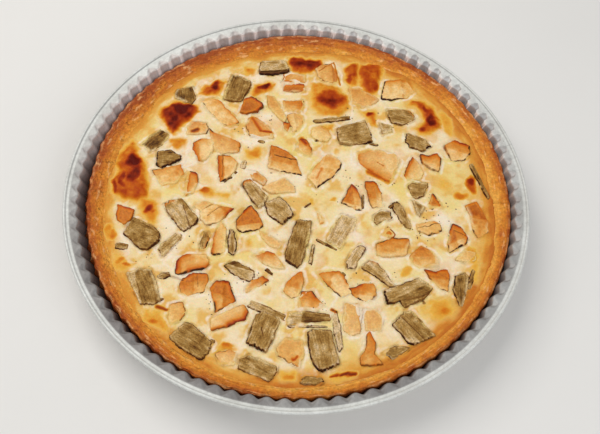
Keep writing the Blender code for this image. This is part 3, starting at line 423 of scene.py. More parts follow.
# Browner or yellower spots: centre, half length, half width, turn, brownness.
SPOTS = (
    (-82, 60.5, 9, 4.5, -12, 1.08), (-86, 53, 5, 5, 0, 0.98),
    (-61, 84, 4, 5.5, -12, 1.02), (1, 106.5, 9, 4, 0, 0.9),
    (31, 97.5, 2.5, 6, 0, 0.74), (43, 101, 5, 7, 0, 0.6), (48.5, 92, 3, 5, 15, 0.68),
    (18, 77, 12, 9, 0, 0.66), (18.5, 76.5, 12, 5.8, -4, 0.82),
    (86.8, 64, 3.2, 7, -6, 1.02), (84, 73.5, 2.2, 5, 25, 0.8), (81, 55, 4, 2.6, 20, 0.8),
    (-28, 86, 5, 2.6, 30, 0.98), (-106.5, 17, 6, 7, 0, 1.06),
    (-115.5, -3, 2, 6.5, 10, 0.86), (-104.5, 6, 4.5, 10, -10, 0.94), (-111, 1, 2.5, 8, 15, 0.88),
    (-90.5, -19, 2.8, 5, 0, 0.82), (45, 65.8, 3.2, 1.9, 0, 0.8), (-58.5, -2.2, 3.5, 2.2, 0, 0.5),
    (-33, -105.5, 4, 1.8, 15, 0.42), (1, -121.5, 2.8, 2.4, 0, 0.36),
    (87.5, -76, 7.5, 6.5, 0, 0.24), (91, -77, 3.6, 3.4, 0, 0.36),
    (-103.5, -55.5, 2.2, 3, -40, 0.4), (-99.5, -59, 3.5, 1.6, -10, 0.36),
    (-76.5, -93.5, 3.5, 2.6, -20, 0.42), (-28, -39.5, 3, 4, 0, 0.15), (9, -6, 3, 3, 0, 0.16),
    (5, -3, 4, 5, 0, 0.1), (23.8, -3.2, 2.2, 2, 0, 0.26), (103, 5.6, 4.4, 3.4, 0, 0.4),
    (111, 13.5, 3.6, 6.5, 0, 0.55), (111, 15.5, 2.4, 3.2, 0, 0.85), (94, 13, 7, 7, 0, 0.12),
    (67.5, -52.5, 3, 3, 0, 0.2), (97, 62, 3.5, 11, 12, 0.22), (-113, -36, 3, 6, 10, 0.3),
    (-110, -38.5, 2.5, 3, 0, 0.45), (30, -121, 9, 3, 12, 0.12), (24, 34, 3, 3, 0, 0.16),
    (43, -22, 2.5, 4, 0, 0.1), (35, -107, 5, 5, 0, 0.08), (-58, 4, 6, 5, 0, 0.1),
    (-86, -31, 5, 3, 0, 0.08), (-83, 22, 12, 3, 0, 0.06), (62, 15, 5, 4, 0, 0.06),
)
# Marks on fruit and custard: from, to, half width, toast, dark, depth of the groove.
MARKS = (
    (-71.5, 42.7, -68.7, 44.6, 1.5, 1, 0.55, 0),
    (-70.6, -15, -65, -30, 0.35, 0, 0.8, 0.5),
    (24, -120, 30, -118.6, 0.7, 0.9, 0.2, 0.6),
    (30, -118.8, 38, -117.5, 1.1, 1.3, 0.3, 0.9),
    (-77, -84.5, -71.5, -85.5, 1.1, 0.95, 0.45, 0.5),
    (-78, -62, -65, -66, 0.7, 0, 0.7, 0.2),
    (63, -81, 77.5, -96, 0.35, 0, 0.7, 0.5),
    (-16, -94, -14.5, -99, 0.4, 0, 0.8, 0.5),
    (-16.3, 26.9, -1.9, 23.8, 0.35, 0.2, 1, 0.5),
    (-55, -21.3, -47, -13.8, 0.3, 0.2, 0.7, 0.3),
    (-33.5, 57.5, -27, 47, 1.4, 0.8, 0.1, 0.4),
    (-27, 46.5, -20, 46, 1.1, 0.95, 0.1, 0.4),
    (24, -80, 26, -81, 1, 0.9, 0.5, 0),
    (0.5, 41.5, 4, 38, 1.8, 0.95, 0.2, 0.2),
    (50.5, 27.5, 55, 24.4, 0.4, 0.5, 0.4, 0.3),
    (45, 18.5, 57, 12.5, 1.7, 0.75, 0, 0.3),
    (52, 34, 61, 31, 4, 0.14, 0, 0),
    (12, 12.5, 14.5, 19, 1.5, 0.42, 0, 0),
    (41.5, -78, 41.5, -91, 0.3, 0, 0.8, 0.3),
    (76, -21.5, 90, -17, 0.3, 0.2, 0.8, 0.3),
    (3, -112, 5.5, -110.5, 1.1, 0.9, 0.1, 0),
    (-56, -63, -55, -70, 0.3, 0.1, 0.6, 0.3),
    (10, 102, 20, 110.5, 0.5, 0.6, 0.5, 0.2),
    (20, 110.5, 25, 91, 0.5, 0.7, 0.4, 0.2),
    (-50, 26, -48.8, 8, 0.25, 0.2, 0.7, 0.3),
    (98, -22.5, 105, -26, 0.3, 0.1, 0.7, 0.3),
)
# Strips and shreds of rhubarb: centre, length, width, turn, rise, tone.
SHREDS = (
    (116.9, 15.6, 28, 3.2, -69, 1.5, 0.35),
    (20, -37, 15, 2, -27, 0.9, 0.5),
    (10.8, -44, 14, 2.4, 84, 1.2, -0.2),
    (-13.8, -83, 23, 5, -20, 1, -0.2),
    (11, -91.4, 23, 1.8, 3, 1, -1),
    (-44, 9, 12, 3, 45, 1.1, 0.9),
    (41.2, -3.5, 11, 2.2, 90, 1, 0.9),
    (7, -9, 5, 1.4, 40, 0.9, 1),
    (-104, -46, 8, 5, 0, 0.8, 0.3),
    (-76, -64, 8, 3.6, 20, 0.9, 0),
    (20.5, 60, 25, 3.8, 12, 0.9, 0.2),
    (27.5, -93, 24, 4.5, -78, 1.1, -0.8),
    (-79, -80.5, 12, 2.4, 15, 0.8, 0.4),
    (82, -76, 14, 2.6, -42, 0.8, 0.3),
    (-26, 38, 5, 3, 0, 0.7, 0.2),
    (59.5, -6, 6, 2.4, 45, 0.9, 0.9),
    (-44, -105, 5, 3, 60, 0.8, 0.6),
    (12, 43, 6, 2, 20, 0.8, 0.2),
    (48, 41, 7, 2.2, 0, 0.8, 0.3),
    (-36, -53, 4, 2, 20, 0.9, 0.9),
    (-14, -57.5, 5.5, 2, -35, 0.9, 0.9),
    (29.5, -56, 5, 2, -30, 0.9, 0.9),
    (-36, 19, 7, 4, 80, 0.8, -0.6),
    (107, -55, 15, 3, 75, 0.8, 0.2),
)
# Clusters of tiny dark flecks: centre, spread, and how many.
FLECK_CLUSTERS = (
    (88, -18, 7, 14), (78, -26, 6, 12), (90, -5, 8, 14), (-35, -66, 8, 10),
    (-47, -80, 7, 10), (30, 8, 8, 10), (-20, -62, 9, 12), (52, 10, 8, 9),
    (66, 60, 8, 8), (-40, 44, 8, 9), (-88, -52, 8, 9), (14, -80, 9, 10),
    (40, -58, 8, 9), (60, -58, 7, 8), (-68, -40, 8, 8), (28, 70, 8, 6),
    (-24, 60, 8, 8), (0, 0, 40, 10), (0, -60, 50, 10), (50, 40, 40, 8),
)

# Camera, floor and light; angles in degrees.
VIEW_ELEVATION = 58.70
VIEW_DISTANCE = 0.47685
VIEW_TARGET = (0.00242, -0.0225, 0.030)
VIEW_ROLL = 3.316
# Lens and sensor in millimetres.
VIEW_LENS = 46.8
SENSOR_WIDTH = 36.0
# Nearest distance that the camera shows.
VIEW_NEAREST = 0.01
FLOOR_HALF = 3.0
FLOOR_DROP = 0.2 * MM
FLOOR_SHADE = 0.985
WORLD_TINT = (0.96, 0.98, 1.0, 1.0)
# Each light's place, size and tint.
KEY_LIGHT = ((-0.50, 0.34, 1.02), 0.9, (1.0, 0.97, 0.93))
FILL_LIGHT = ((0.60, -0.75, 0.80), 1.0, (0.95, 0.97, 1.0))


# ---- Arithmetic on arrays ----

def mix(a, b, t):
    """The value a share t of the way from a to b."""
    return a + (b - a) * t


def held(value):
    """A value held between 0 and 1."""
    return np.clip(value, 0, 1)


def ease(t):
    """Smoothstep: three t squared less two t cubed, with t held between 0 and 1."""
    t = held(t)
    return t * t * (3 - 2 * t)


def bell(distance, width):
    """A bell curve: the exponential of less the square of distance over width."""
    return np.exp(-(distance / width) ** 2)


def off_whole(value):
    """How far a value lies past the nearest whole number, from minus a half to a half."""
    return np.mod(value + 0.5, 1.0) - 0.5


def lattice_noise(u, v, seed, period=256):
    """Smooth noise from -1 to 1: random values on unit cells, blended by smoothsteps.

    The first coordinate repeats after the given number of cells.
    """
    table = np.random.default_rng(seed).uniform(-1, 1, (period, 256))
    i = np.floor(u).astype(int)
    j = np.floor(v).astype(int)
    a = ease(u - i)
    b = ease(v - j)
    low = mix(table[i % period, j % 256], table[(i + 1) % period, j % 256], a)
    high = mix(table[i % period, (j + 1) % 256], table[(i + 1) % period, (j + 1) % 256], a)
    return mix(low, high, b)


def rough(x, y, size, octaves, seed):
    """Fractal noise over the plan: each octave has half the cell and half the height."""
    total = 0.0
    for octave in range(octaves):
        cell = size / 2 ** octave
        total = total + lattice_noise(x / cell, y / cell, seed + octave) / 2 ** octave
    return total / 1.5


def ring_value(table_mm, angle):
    """A closed table of millimetre values read smoothly at angles, in metres."""
    table = np.asarray(table_mm)
    place = np.mod(angle, math.tau) / math.tau * len(table)
    index = np.floor(place).astype(int)
    here = table[index % len(table)]
    after = table[(index + 1) % len(table)]
    return mix(here, after, ease(place - index)) * MM


def ellipse_share(x, y, spot):
    """Squared distance of places from a spot's middle, 1 on its ellipse."""
    centre_x, centre_y, half_u, half_v, turn = spot
    angle = math.radians(turn)
    dx = x - centre_x * MM
    dy = y - centre_y * MM
    u = (dx * math.cos(angle) + dy * math.sin(angle)) / (half_u * MM)
    v = (dy * math.cos(angle) - dx * math.sin(angle)) / (half_v * MM)
    return u * u + v * v


def segment_distance(x, y, start, end):
    """Distance from places to a straight line between two points."""
    run = np.subtract(end, start)
    along = held(((x - start[0]) * run[0] + (y - start[1]) * run[1]) / (run @ run))
    return np.hypot(x - start[0] - along * run[0], y - start[1] - along * run[1])


def outline_distance(x, y, loop):
    """Distance from places to a closed outline, negative inside it."""
    nearest = np.full(np.shape(x), np.inf)
    inside = np.zeros(np.shape(x), bool)
    for start, end in zip(loop, np.roll(loop, -1, axis=0)):
        nearest = np.minimum(nearest, segment_distance(x, y, start, end))
        if start[1] != end[1]:
            crossing = start[0] + (y - start[1]) / (end[1] - start[1]) * (end[0] - start[0])
            inside ^= ((start[1] > y) != (end[1] > y)) & (x < crossing)
    return np.where(inside, -nearest, nearest)


# ---- Meshes from arrays ----

def ring_points(radius, height, angle):
    """Points of a ring from its radii and heights."""
    radius, height, angle = np.broadcast_arrays(radius, height, angle)
    return np.stack([radius * np.cos(angle), radius * np.sin(angle), height], -1)


def grid_faces(rows, columns, wrap=False):
    """Quads of a grid of points in row order; wrap joins the last column to the first."""
    last = columns if wrap else columns - 1
    row, column = np.meshgrid(np.arange(rows - 1), np.arange(last), indexing="ij")
    here = row * columns + column
    right = row * columns + (column + 1) % columns
    return np.stack([here, right, right + columns, here + columns], -1).reshape(-1, 4)


def fan_faces(loop, tip):
    """Triangles from a closed loop of indices to one more point."""
    return np.stack([loop, np.roll(loop, -1), np.full(len(loop), tip)], -1)


def border_loop(rows, columns):
    """Indices round the border of a grid, in one direction."""
    index = np.arange(rows * columns).reshape(rows, columns)
    return np.concatenate([index[0, :-1], index[:-1, -1], index[-1, :0:-1], index[:0:-1, 0]])


def outward(points, quads, triangles):
    """Turns the faces round if the closed shape's signed volume is negative."""
    volume = 0.0
    for part in (quads[:, :3], quads[:, (0, 2, 3)], triangles):
        a, b, c = (points[part[:, k]] for k in range(3))
        volume += np.einsum("ij,ij->", a, np.cross(b, c))
    if volume < 0:
        return quads[:, ::-1], triangles[:, ::-1]
    return quads, triangles


def closed_patch(top, rings, foot):
    """A solid from a grid whose border is carried down rings and closed to a foot point."""
    rows, columns = top.shape[:2]
    border = border_loop(rows, columns)
    count = len(border)
    points = np.concatenate([top.reshape(-1, 3), rings.reshape(-1, 3), foot[None, :]])
    quads = [grid_faces(rows, columns)]
    upper = border
    for level in range(len(rings)):
        lower = rows * columns + level * count + np.arange(count)
        quads.append(np.stack([upper, lower, np.roll(lower, -1), np.roll(upper, -1)], -1))
        upper = lower
    triangles = fan_faces(upper, len(points) - 1)[:, ::-1]
    quads, triangles = outward(points, np.concatenate(quads), triangles)
    return points, quads, triangles


def turned_shape(rings, low_centre, high_centre):
    """A solid from closed rings of equal length, closed at both ends by a fan."""
    rows, columns = rings.shape[:2]
    points = np.concatenate([rings.reshape(-1, 3), [low_centre], [high_centre]])
    loop = np.arange(columns)
    triangles = np.concatenate([
        fan_faces(loop, rows * columns)[:, ::-1],
        fan_faces(loop + (rows - 1) * columns, rows * columns + 1),
    ])
    return (points, *outward(points, grid_faces(rows, columns, wrap=True), triangles))


def joined(parts):
    """Several shapes as one: (points, quads, triangles, marks, weave) in one set."""
    points, quads, triangles, marks, weave = zip(*parts)
    shifts = np.cumsum([0] + [len(item) for item in points[:-1]])
    quads, triangles = ([item + shift for item, shift in zip(faces, shifts)]
                        for faces in (quads, triangles))
    return [np.concatenate(item) for item in (points, quads, triangles, marks, weave)]


def mesh_piece(name, shape, material, nodes=()):
    """Puts a shape into the scene: its mesh, its marks, its weave map and its ride."""
    points, quads, triangles, marks, weave = shape
    mesh = bpy.data.meshes.new(name)
    corners = np.concatenate([quads.ravel(), triangles.ravel()]).astype(np.int32)
    starts = np.concatenate([
        np.arange(len(quads)) * 4,
        len(quads) * 4 + np.arange(len(triangles)) * 3,
    ]).astype(np.int32)
    mesh.vertices.add(len(points))
    mesh.loops.add(len(corners))
    mesh.polygons.add(len(starts))
    mesh.vertices.foreach_set("co", points.astype(np.float32).ravel())
    mesh.loops.foreach_set("vertex_index", corners)
    mesh.polygons.foreach_set("loop_start", starts)
    mesh.update(calc_edges=True)
    mesh.polygons.foreach_set("use_smooth", np.ones(len(starts), bool))
    bake = mesh.attributes.new("bake", "FLOAT_COLOR", "POINT")
    bake.data.foreach_set("color", marks.astype(np.float32).ravel())
    layer = mesh.uv_layers.new(name="weave")
    layer.data.foreach_set("uv", weave[corners].astype(np.float32).ravel())
    mesh.materials.append(material)
    piece = bpy.data.objects.new(name, mesh)
    bpy.context.scene.collection.objects.link(piece)
    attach(piece, BODY)
    if nodes:
        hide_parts(*nodes)


# ---- Tin ----

def flute_wave(angle):
    """Wave of the flutes: half of one less a cosine, to a power that broadens the ridges."""
    return (0.5 - 0.5 * np.cos(angle * FLUTES)) ** 0.75


def flute_tooth(angle, share):
    """A groove's trace on the flange: a wedge that narrows outward and leans back."""
    turn = off_whole(angle * FLUTES / math.tau - 0.24 * share * np.cos(angle))
    return held((1 - 2.4 * np.abs(turn)) - 1.9 * share)


def wall_radius(height, angle):
    """Inner radius of the wall: an even lean outward, less the wave by a growing depth."""
    share = (height - SHEET) / (WALL_TOP - SHEET)
    groove = mix(FOOT_RADIUS, WALL_TOP_RADIUS, share)
    return groove - mix(FLUTE_DEPTH_FOOT, FLUTE_DEPTH_TOP, share) * flute_wave(angle)


def tin_shape(sizes):
    """The tin's section carried round: inner wall, shoulder, flange, bead, outside.

    Each groove dips the flange by a wedge that narrows evenly on its way out.
    """
    columns = FLUTES * sizes.flute_columns
    angle = np.arange(columns) / columns * math.tau
    rings = []

    def add_ring(radius, height):
        """One more ring of the section."""
        rings.append(ring_points(radius, height, angle))

    def add_shoulder(wall, radius, steps):
        """The quarter round between the wall and the flange, by its angles."""
        for step in steps * math.pi / 2:
            add_ring(wall + radius * (1 - math.cos(step)), shoulder_foot + radius * math.sin(step))

    dip = FLUTE_DIP * flute_tooth(angle, 0.0)
    shoulder_foot = WALL_TOP - SHOULDER - dip
    for share in np.linspace(0, 1, 9):
        height = mix(SHEET, shoulder_foot, share)
        add_ring(wall_radius(height, angle), height)
    wall = wall_radius(shoulder_foot, angle)
    add_shoulder(wall, SHOULDER, np.linspace(0.15, 1.0, 7))
    bead_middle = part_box("tart_tin")[1].x - BEAD_RADIUS
    flange_top = WALL_TOP + FLANGE_RISE
    start = wall + SHOULDER
    end = bead_middle - BEAD_RADIUS * 1.05
    dent = sizes.tin_dent * MM * rough(np.cos(angle) * 3, np.sin(angle) * 3, 1.0, 2, 5)
    for share in np.linspace(0.06, 1.0, 13):
        sag = (FLANGE_SAG - dent) * math.sin(share * math.pi)
        sag = sag + FLUTE_DIP * flute_tooth(angle, share)
        add_ring(mix(start, end, share), mix(WALL_TOP, flange_top, share) - sag)
    bead_height = CAD_BOX[1][2] - BEAD_RADIUS - BEAD_SPACE
    for turn in np.radians(np.linspace(150, -140, 15)):
        add_ring(bead_middle + BEAD_RADIUS * math.cos(turn),
                 bead_height + BEAD_RADIUS * math.sin(turn))
    upper = len(rings)
    for share in (1.0, 0.5, 0.12):
        height = mix(WALL_TOP, flange_top, share) - SHEET - dip * (1 - share) ** 1.5
        add_ring(mix(start, end, share) + SHEET * 0.3, height)
    add_shoulder(wall + SHEET, SHOULDER - SHEET, np.linspace(1.0, 0.0, 4))
    for share in np.linspace(0.93, 0.0, 7):
        height = mix(FOOT_ROUND, shoulder_foot, share)
        add_ring(wall_radius(height, angle) + SHEET, height)
    foot = wall_radius(SHEET, angle) + SHEET
    for step in np.linspace(0.25, 1.0, 4) * math.pi / 2:
        add_ring(foot - FOOT_ROUND * (1 - math.cos(step)), FOOT_ROUND * (1 - math.sin(step)))
    points, quads, triangles = turned_shape(np.stack(rings), (0, 0, SHEET), (0, 0, 0))
    around = np.append(np.tile(angle, len(rings)), (0, 0))
    inside = np.append(np.repeat(np.arange(len(rings)) < upper, columns), (True, False))
    marks = tin_marks(points, around, inside, bead_middle, end)
    weave = np.stack([around / math.tau, points[:, 2]], -1)
    return points, quads, triangles, marks, weave


def tin_marks(points, around, inside, bead_middle, end):
    """Where the tin gets painted shade, deep painted shade, a painted shade line along the bead, and
    painted light.

    The traces of the grooves get painted shade, strongest towards the right, and so does the near
    side of the flange. Deep painted shade lies low on the near and left walls and at the hook of
    each groove. The far wall gets painted light between its grooves, and a paler painted shade in
    the grooves at its left. Outside, all but the line along the bead are plain tones.
    """
    cosine = np.cos(around)
    sine = np.sin(around)
    flute = around * FLUTES / math.tau
    height = points[:, 2]
    reach = np.hypot(points[:, 0], points[:, 1])
    share = held((reach - WALL_TOP_RADIUS - SHOULDER) / (end - WALL_TOP_RADIUS - SHOULDER))
    near = held(0.45 - 0.75 * sine)
    climb = held((height - TOOTH_FOOT) / (WALL_TOP - TOOTH_FOOT))
    climb = 0.5 * climb + 0.5 * held(share / 0.38)
    lean = off_whole(flute - 0.30 * climb * cosine) * np.sign(cosine + 1e-9)
    wedge = 0.47 * (1 - climb)
    # Painted shade in each groove's trace: weaker on the near side, strongest towards the right.
    groove_shade = ease((wedge - np.abs(lean)) / 0.09 + 0.5) * (1 - 0.45 * near)
    groove_shade = groove_shade * np.clip(0.45 + 0.7 * np.cos(around - 0.3), 0.15, 0.9) * (1 - 0.35 * climb)
    # Painted shade: a thin dark line at the hook of each groove.
    hook = bell(lean + wedge, 0.06) * (climb < 0.97) * (climb > 0.02)
    hook = hook * held(0.2 + np.cos(around - 0.3))
    # Painted shade on the inner part of the near flange.
    near_band_shade = ease((0.62 - share) / 0.20) * near
    left = held(-0.2 - cosine) * ease((0.3 - sine) / 0.3)
    # Deep painted shade low on the near and left walls.
    deep = ease((WALL_TOP - 0.6 * MM - height) / (4 * MM)) * np.maximum(near, left)
    # Painted shade: a thin dark line in the crease inside the bead, faint on the near side.
    dark_line_and_shade = bell(reach - bead_middle + BEAD_RADIUS, 0.3 * MM) * (1 - near)
    turn = off_whole(flute)
    # Painted light: the far wall goes near white on its ridges, with a paler pinkish painted shade in
    # its grooves at the left.
    far = ease((WALL_TOP + 0.2 * MM - height) / MM) * held(0.5 + sine)
    left_far = far * held(0.5 - 2 * cosine)
    painted_light_and_tone = far * (1 - 0.5 * left_far * ease((0.34 - np.abs(turn)) / 0.10))
    # More painted shade: a thin line by each groove at the far left, the hooks, and the near band.
    for shade in (0.45 * left_far * bell(turn + 0.36, 0.07), 0.55 * hook,
                  0.34 * near_band_shade * held(0.2 - cosine)):
        deep = np.maximum(deep, shade)
    # Inside the tin these are painted shade and painted light; outside, plain tones.
    painted_shade_and_grey = np.where(inside, np.maximum(groove_shade, near_band_shade), OUTSIDE_GREY)
    painted_light_and_tone = np.where(inside, painted_light_and_tone, OUTSIDE_TONE)
    return np.stack([painted_shade_and_grey, np.where(inside, deep, 0.0), dark_line_and_shade, painted_light_and_tone], -1)


# ---- Pastry ----

def crust_inner(angle):
    """Radius at which the custard meets the pastry."""
    return ring_value(CRUST_INNER_MM, angle)


def section_rows(count):
    """The pastry's section, rounded by a running mean, at evenly spaced rows."""
    table = np.array(CRUST_SECTION)
    run = np.hypot(np.diff(table[:, 0]) * 12, np.diff(table[:, 1]))
    place = np.concatenate([[0], np.cumsum(run)]) / run.sum()
    fine = np.linspace(0, 1, 240)
    columns = []
    for values in table.T:
        padded = np.pad(np.interp(fine, place, values), 10, mode="edge")
        columns.append(np.convolve(padded, np.ones(21) / 21, mode="valid"))
    rows = np.linspace(0, 1, count)
    return [np.interp(rows, fine, column)[:, None] for column in columns]


def crust_shape(sizes):
    """The pastry's rounded section carried round, roughened by crags and streaks.

    Its height adds fractal noise, streaks along the rim and bites out of it, most where
    it is rugged, which grows to the left by the cosine of the angle. The flutes show as
    scallops where the dough was pressed into them, most at the left and the near side.
    """
    columns = sizes.crust_columns
    angle = np.arange(columns) / columns * math.tau
    share, height, crag = section_rows(sizes.crust_rows)
    rugged = np.clip(0.55 - 0.35 * np.cos(angle), 0.25, 1)
    pressed = np.clip(0.75 - 0.9 * np.cos(angle) - 0.4 * np.sin(angle), 0.12, 1)
    scallop = sizes.crust_scallop * MM * (0.5 - flute_wave(angle)) * pressed
    scallop = scallop * held(1 - share * 1.6)
    radius = mix(ring_value(CRUST_OUTER_MM, angle), crust_inner(angle), share) + scallop
    x = radius * np.cos(angle)
    y = radius * np.sin(angle)
    place = angle / math.tau * STREAK_CELLS
    streak = lattice_noise(place, share * 14, 31, STREAK_CELLS)
    streak = streak + 0.6 * lattice_noise(place * 2, share * 26, 32, STREAK_CELLS * 2)
    crags = rough(x, y, 7 * MM, 4, 40) * 0.6 + rough(x, y, 1.6 * MM, 2, 50) * 0.3
    pits = held(np.abs(rough(x, y, 2.6 * MM, 3, 55)) * 3 - 0.1)
    rise = sizes.crust_crag * MM * crag * (crags + 0.45 * streak + 0.35 * pits)
    rise = rise * (0.35 + 0.65 * rugged)
    low_bite = held(rough(x, y, 4 * MM, 2, 60) - 0.35) * 1.4 * MM * crag * rugged
    height = height * MM + rise - low_bite * 0.5
    radius = radius + held(1 - share * 5) * (rise - 0.5 * low_bite)
    radius = np.minimum(radius, wall_radius(height, angle) - CLEARANCE)
    wall = [ring_points(wall_radius(level, angle) - CLEARANCE, level, angle)
            for level in np.linspace(PASTRY_UNDER, PASTRY_WALL_TOP, 5)]
    inside = [ring_points(crust_inner(angle), CUSTARD_FOOT, angle),
              ring_points(FLOOR_RADIUS, PASTRY_FLOOR, angle)]
    rings = np.stack([*wall, *ring_points(radius, height, angle), *inside])
    points, quads, triangles = turned_shape(rings, (0, 0, PASTRY_UNDER), (0, 0, PASTRY_FLOOR))
    extend = ((len(wall), len(inside)), (0, 0))
    share = np.pad(np.broadcast_to(share, crags.shape), extend,
                   constant_values=((0, 1), (0, 0)))
    share = np.append(share, (0, 0))
    around = np.tile(angle, len(rings))
    patch = rough(points[:-2, 0], points[:-2, 1], 22 * MM, 2, 70)
    patch = patch * 0.6 - ring_value(CRUST_BAKE, around) / MM
    marks = np.stack([
        held(share),
        np.append(np.pad(crags, extend) * 0.5 + 0.5, (0, 0)),
        np.append(patch * 0.5 + 0.5, (0, 0)),
        np.append(np.tile(rugged, len(rings)), (0, 0)),
    ], -1)
    weave = np.stack([np.append(around, (0, 0)) * PASTRY_ARC, share * 12 * MM], -1)
    return points, quads, triangles, marks, weave


# ---- Fruit ----

class CutPiece(NamedTuple):
    """One cut piece: its outline, what its edges and creases look like, and where it is."""

    loop: np.ndarray
    edges: list
    creases: list
    level: float
    slope: float
    turn: float
    kind: int
    tone: float
    sunk: float
    node: str


def turned(plan, turn):
    """A plan turned by an angle in degrees about the origin."""
    angle = math.radians(turn)
    cosine, sine = math.cos(angle), math.sin(angle)
    return plan @ np.array([[cosine, sine], [-sine, cosine]])


def mesh_points(mesh):
    """The points of a mesh."""
    flat = np.empty(len(mesh.vertices) * 3)
    mesh.vertices.foreach_get("co", flat)
    return flat.reshape(-1, 3)


def node_level(name, turn):
    """Height of a node's top at its middle, and how it rises along its fibres.

    A straight line is fitted to the top's points. A top with many heights is a dome,
    which counts as level at its highest.
    """
    points = np.unique(np.round(mesh_points(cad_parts[name].data), 7), axis=0)
    highest = points[points[:, 2] > points[:, 2].max() - TOP_DEPTH]
    if len(np.unique(np.round(highest[:, 2], 5))) > 4:
        return highest[:, 2].max(), 0.0
    along = turned(highest[:, :2] - points[:, :2].mean(0), -turn)[:, 0]
    slope, level = np.polyfit(along, highest[:, 2], 1)
    half = np.abs(along).max()
    return level, float(np.clip(slope * half, -MOST_TILT, MOST_TILT)) / half


def rounded_loop(loop):
    """A closed outline at even steps, its corners rounded by two running means."""
    closed = np.vstack([loop, loop[:1]])
    place = np.concatenate([[0], np.cumsum(np.hypot(*np.diff(closed, axis=0).T))])
    count = max(24, int(place[-1] / FRUIT_CELL))
    steps = np.arange(count) / count * place[-1]
    points = np.stack([np.interp(steps, place, closed[:, k]) for k in range(2)], -1)
    for _ in range(2):
        points = (np.roll(points, 1, 0) + points + np.roll(points, -1, 0)) / 3
    return points


def mark_values(x, y):
    """Toast, dark and depth of the drawn marks at places: each fades with distance."""
    toast, dark, depth = np.zeros((3, *np.shape(x)))
    wobble = lattice_noise(x / (2 * MM), y / (2 * MM), 90) * 0.5 * MM
    for x1, y1, x2, y2, width, warm, black, groove in MARKS:
        start = np.array((x1, y1)) * MM
        end = np.array((x2, y2)) * MM
        fade = bell(segment_distance(x + wobble, y - wobble, start, end), width * MM)
        toast = np.maximum(toast, warm * fade)
        dark = np.maximum(dark, black * fade)
        depth = np.maximum(depth, groove * MM * fade)
    return toast, dark, depth


def rounded_drop(gap, radius):
    """How far a rounded edge has dropped at a distance inside it: a quarter circle."""
    share = held(1 - gap / radius)
    return radius * (1 - np.sqrt(1 - share * share))


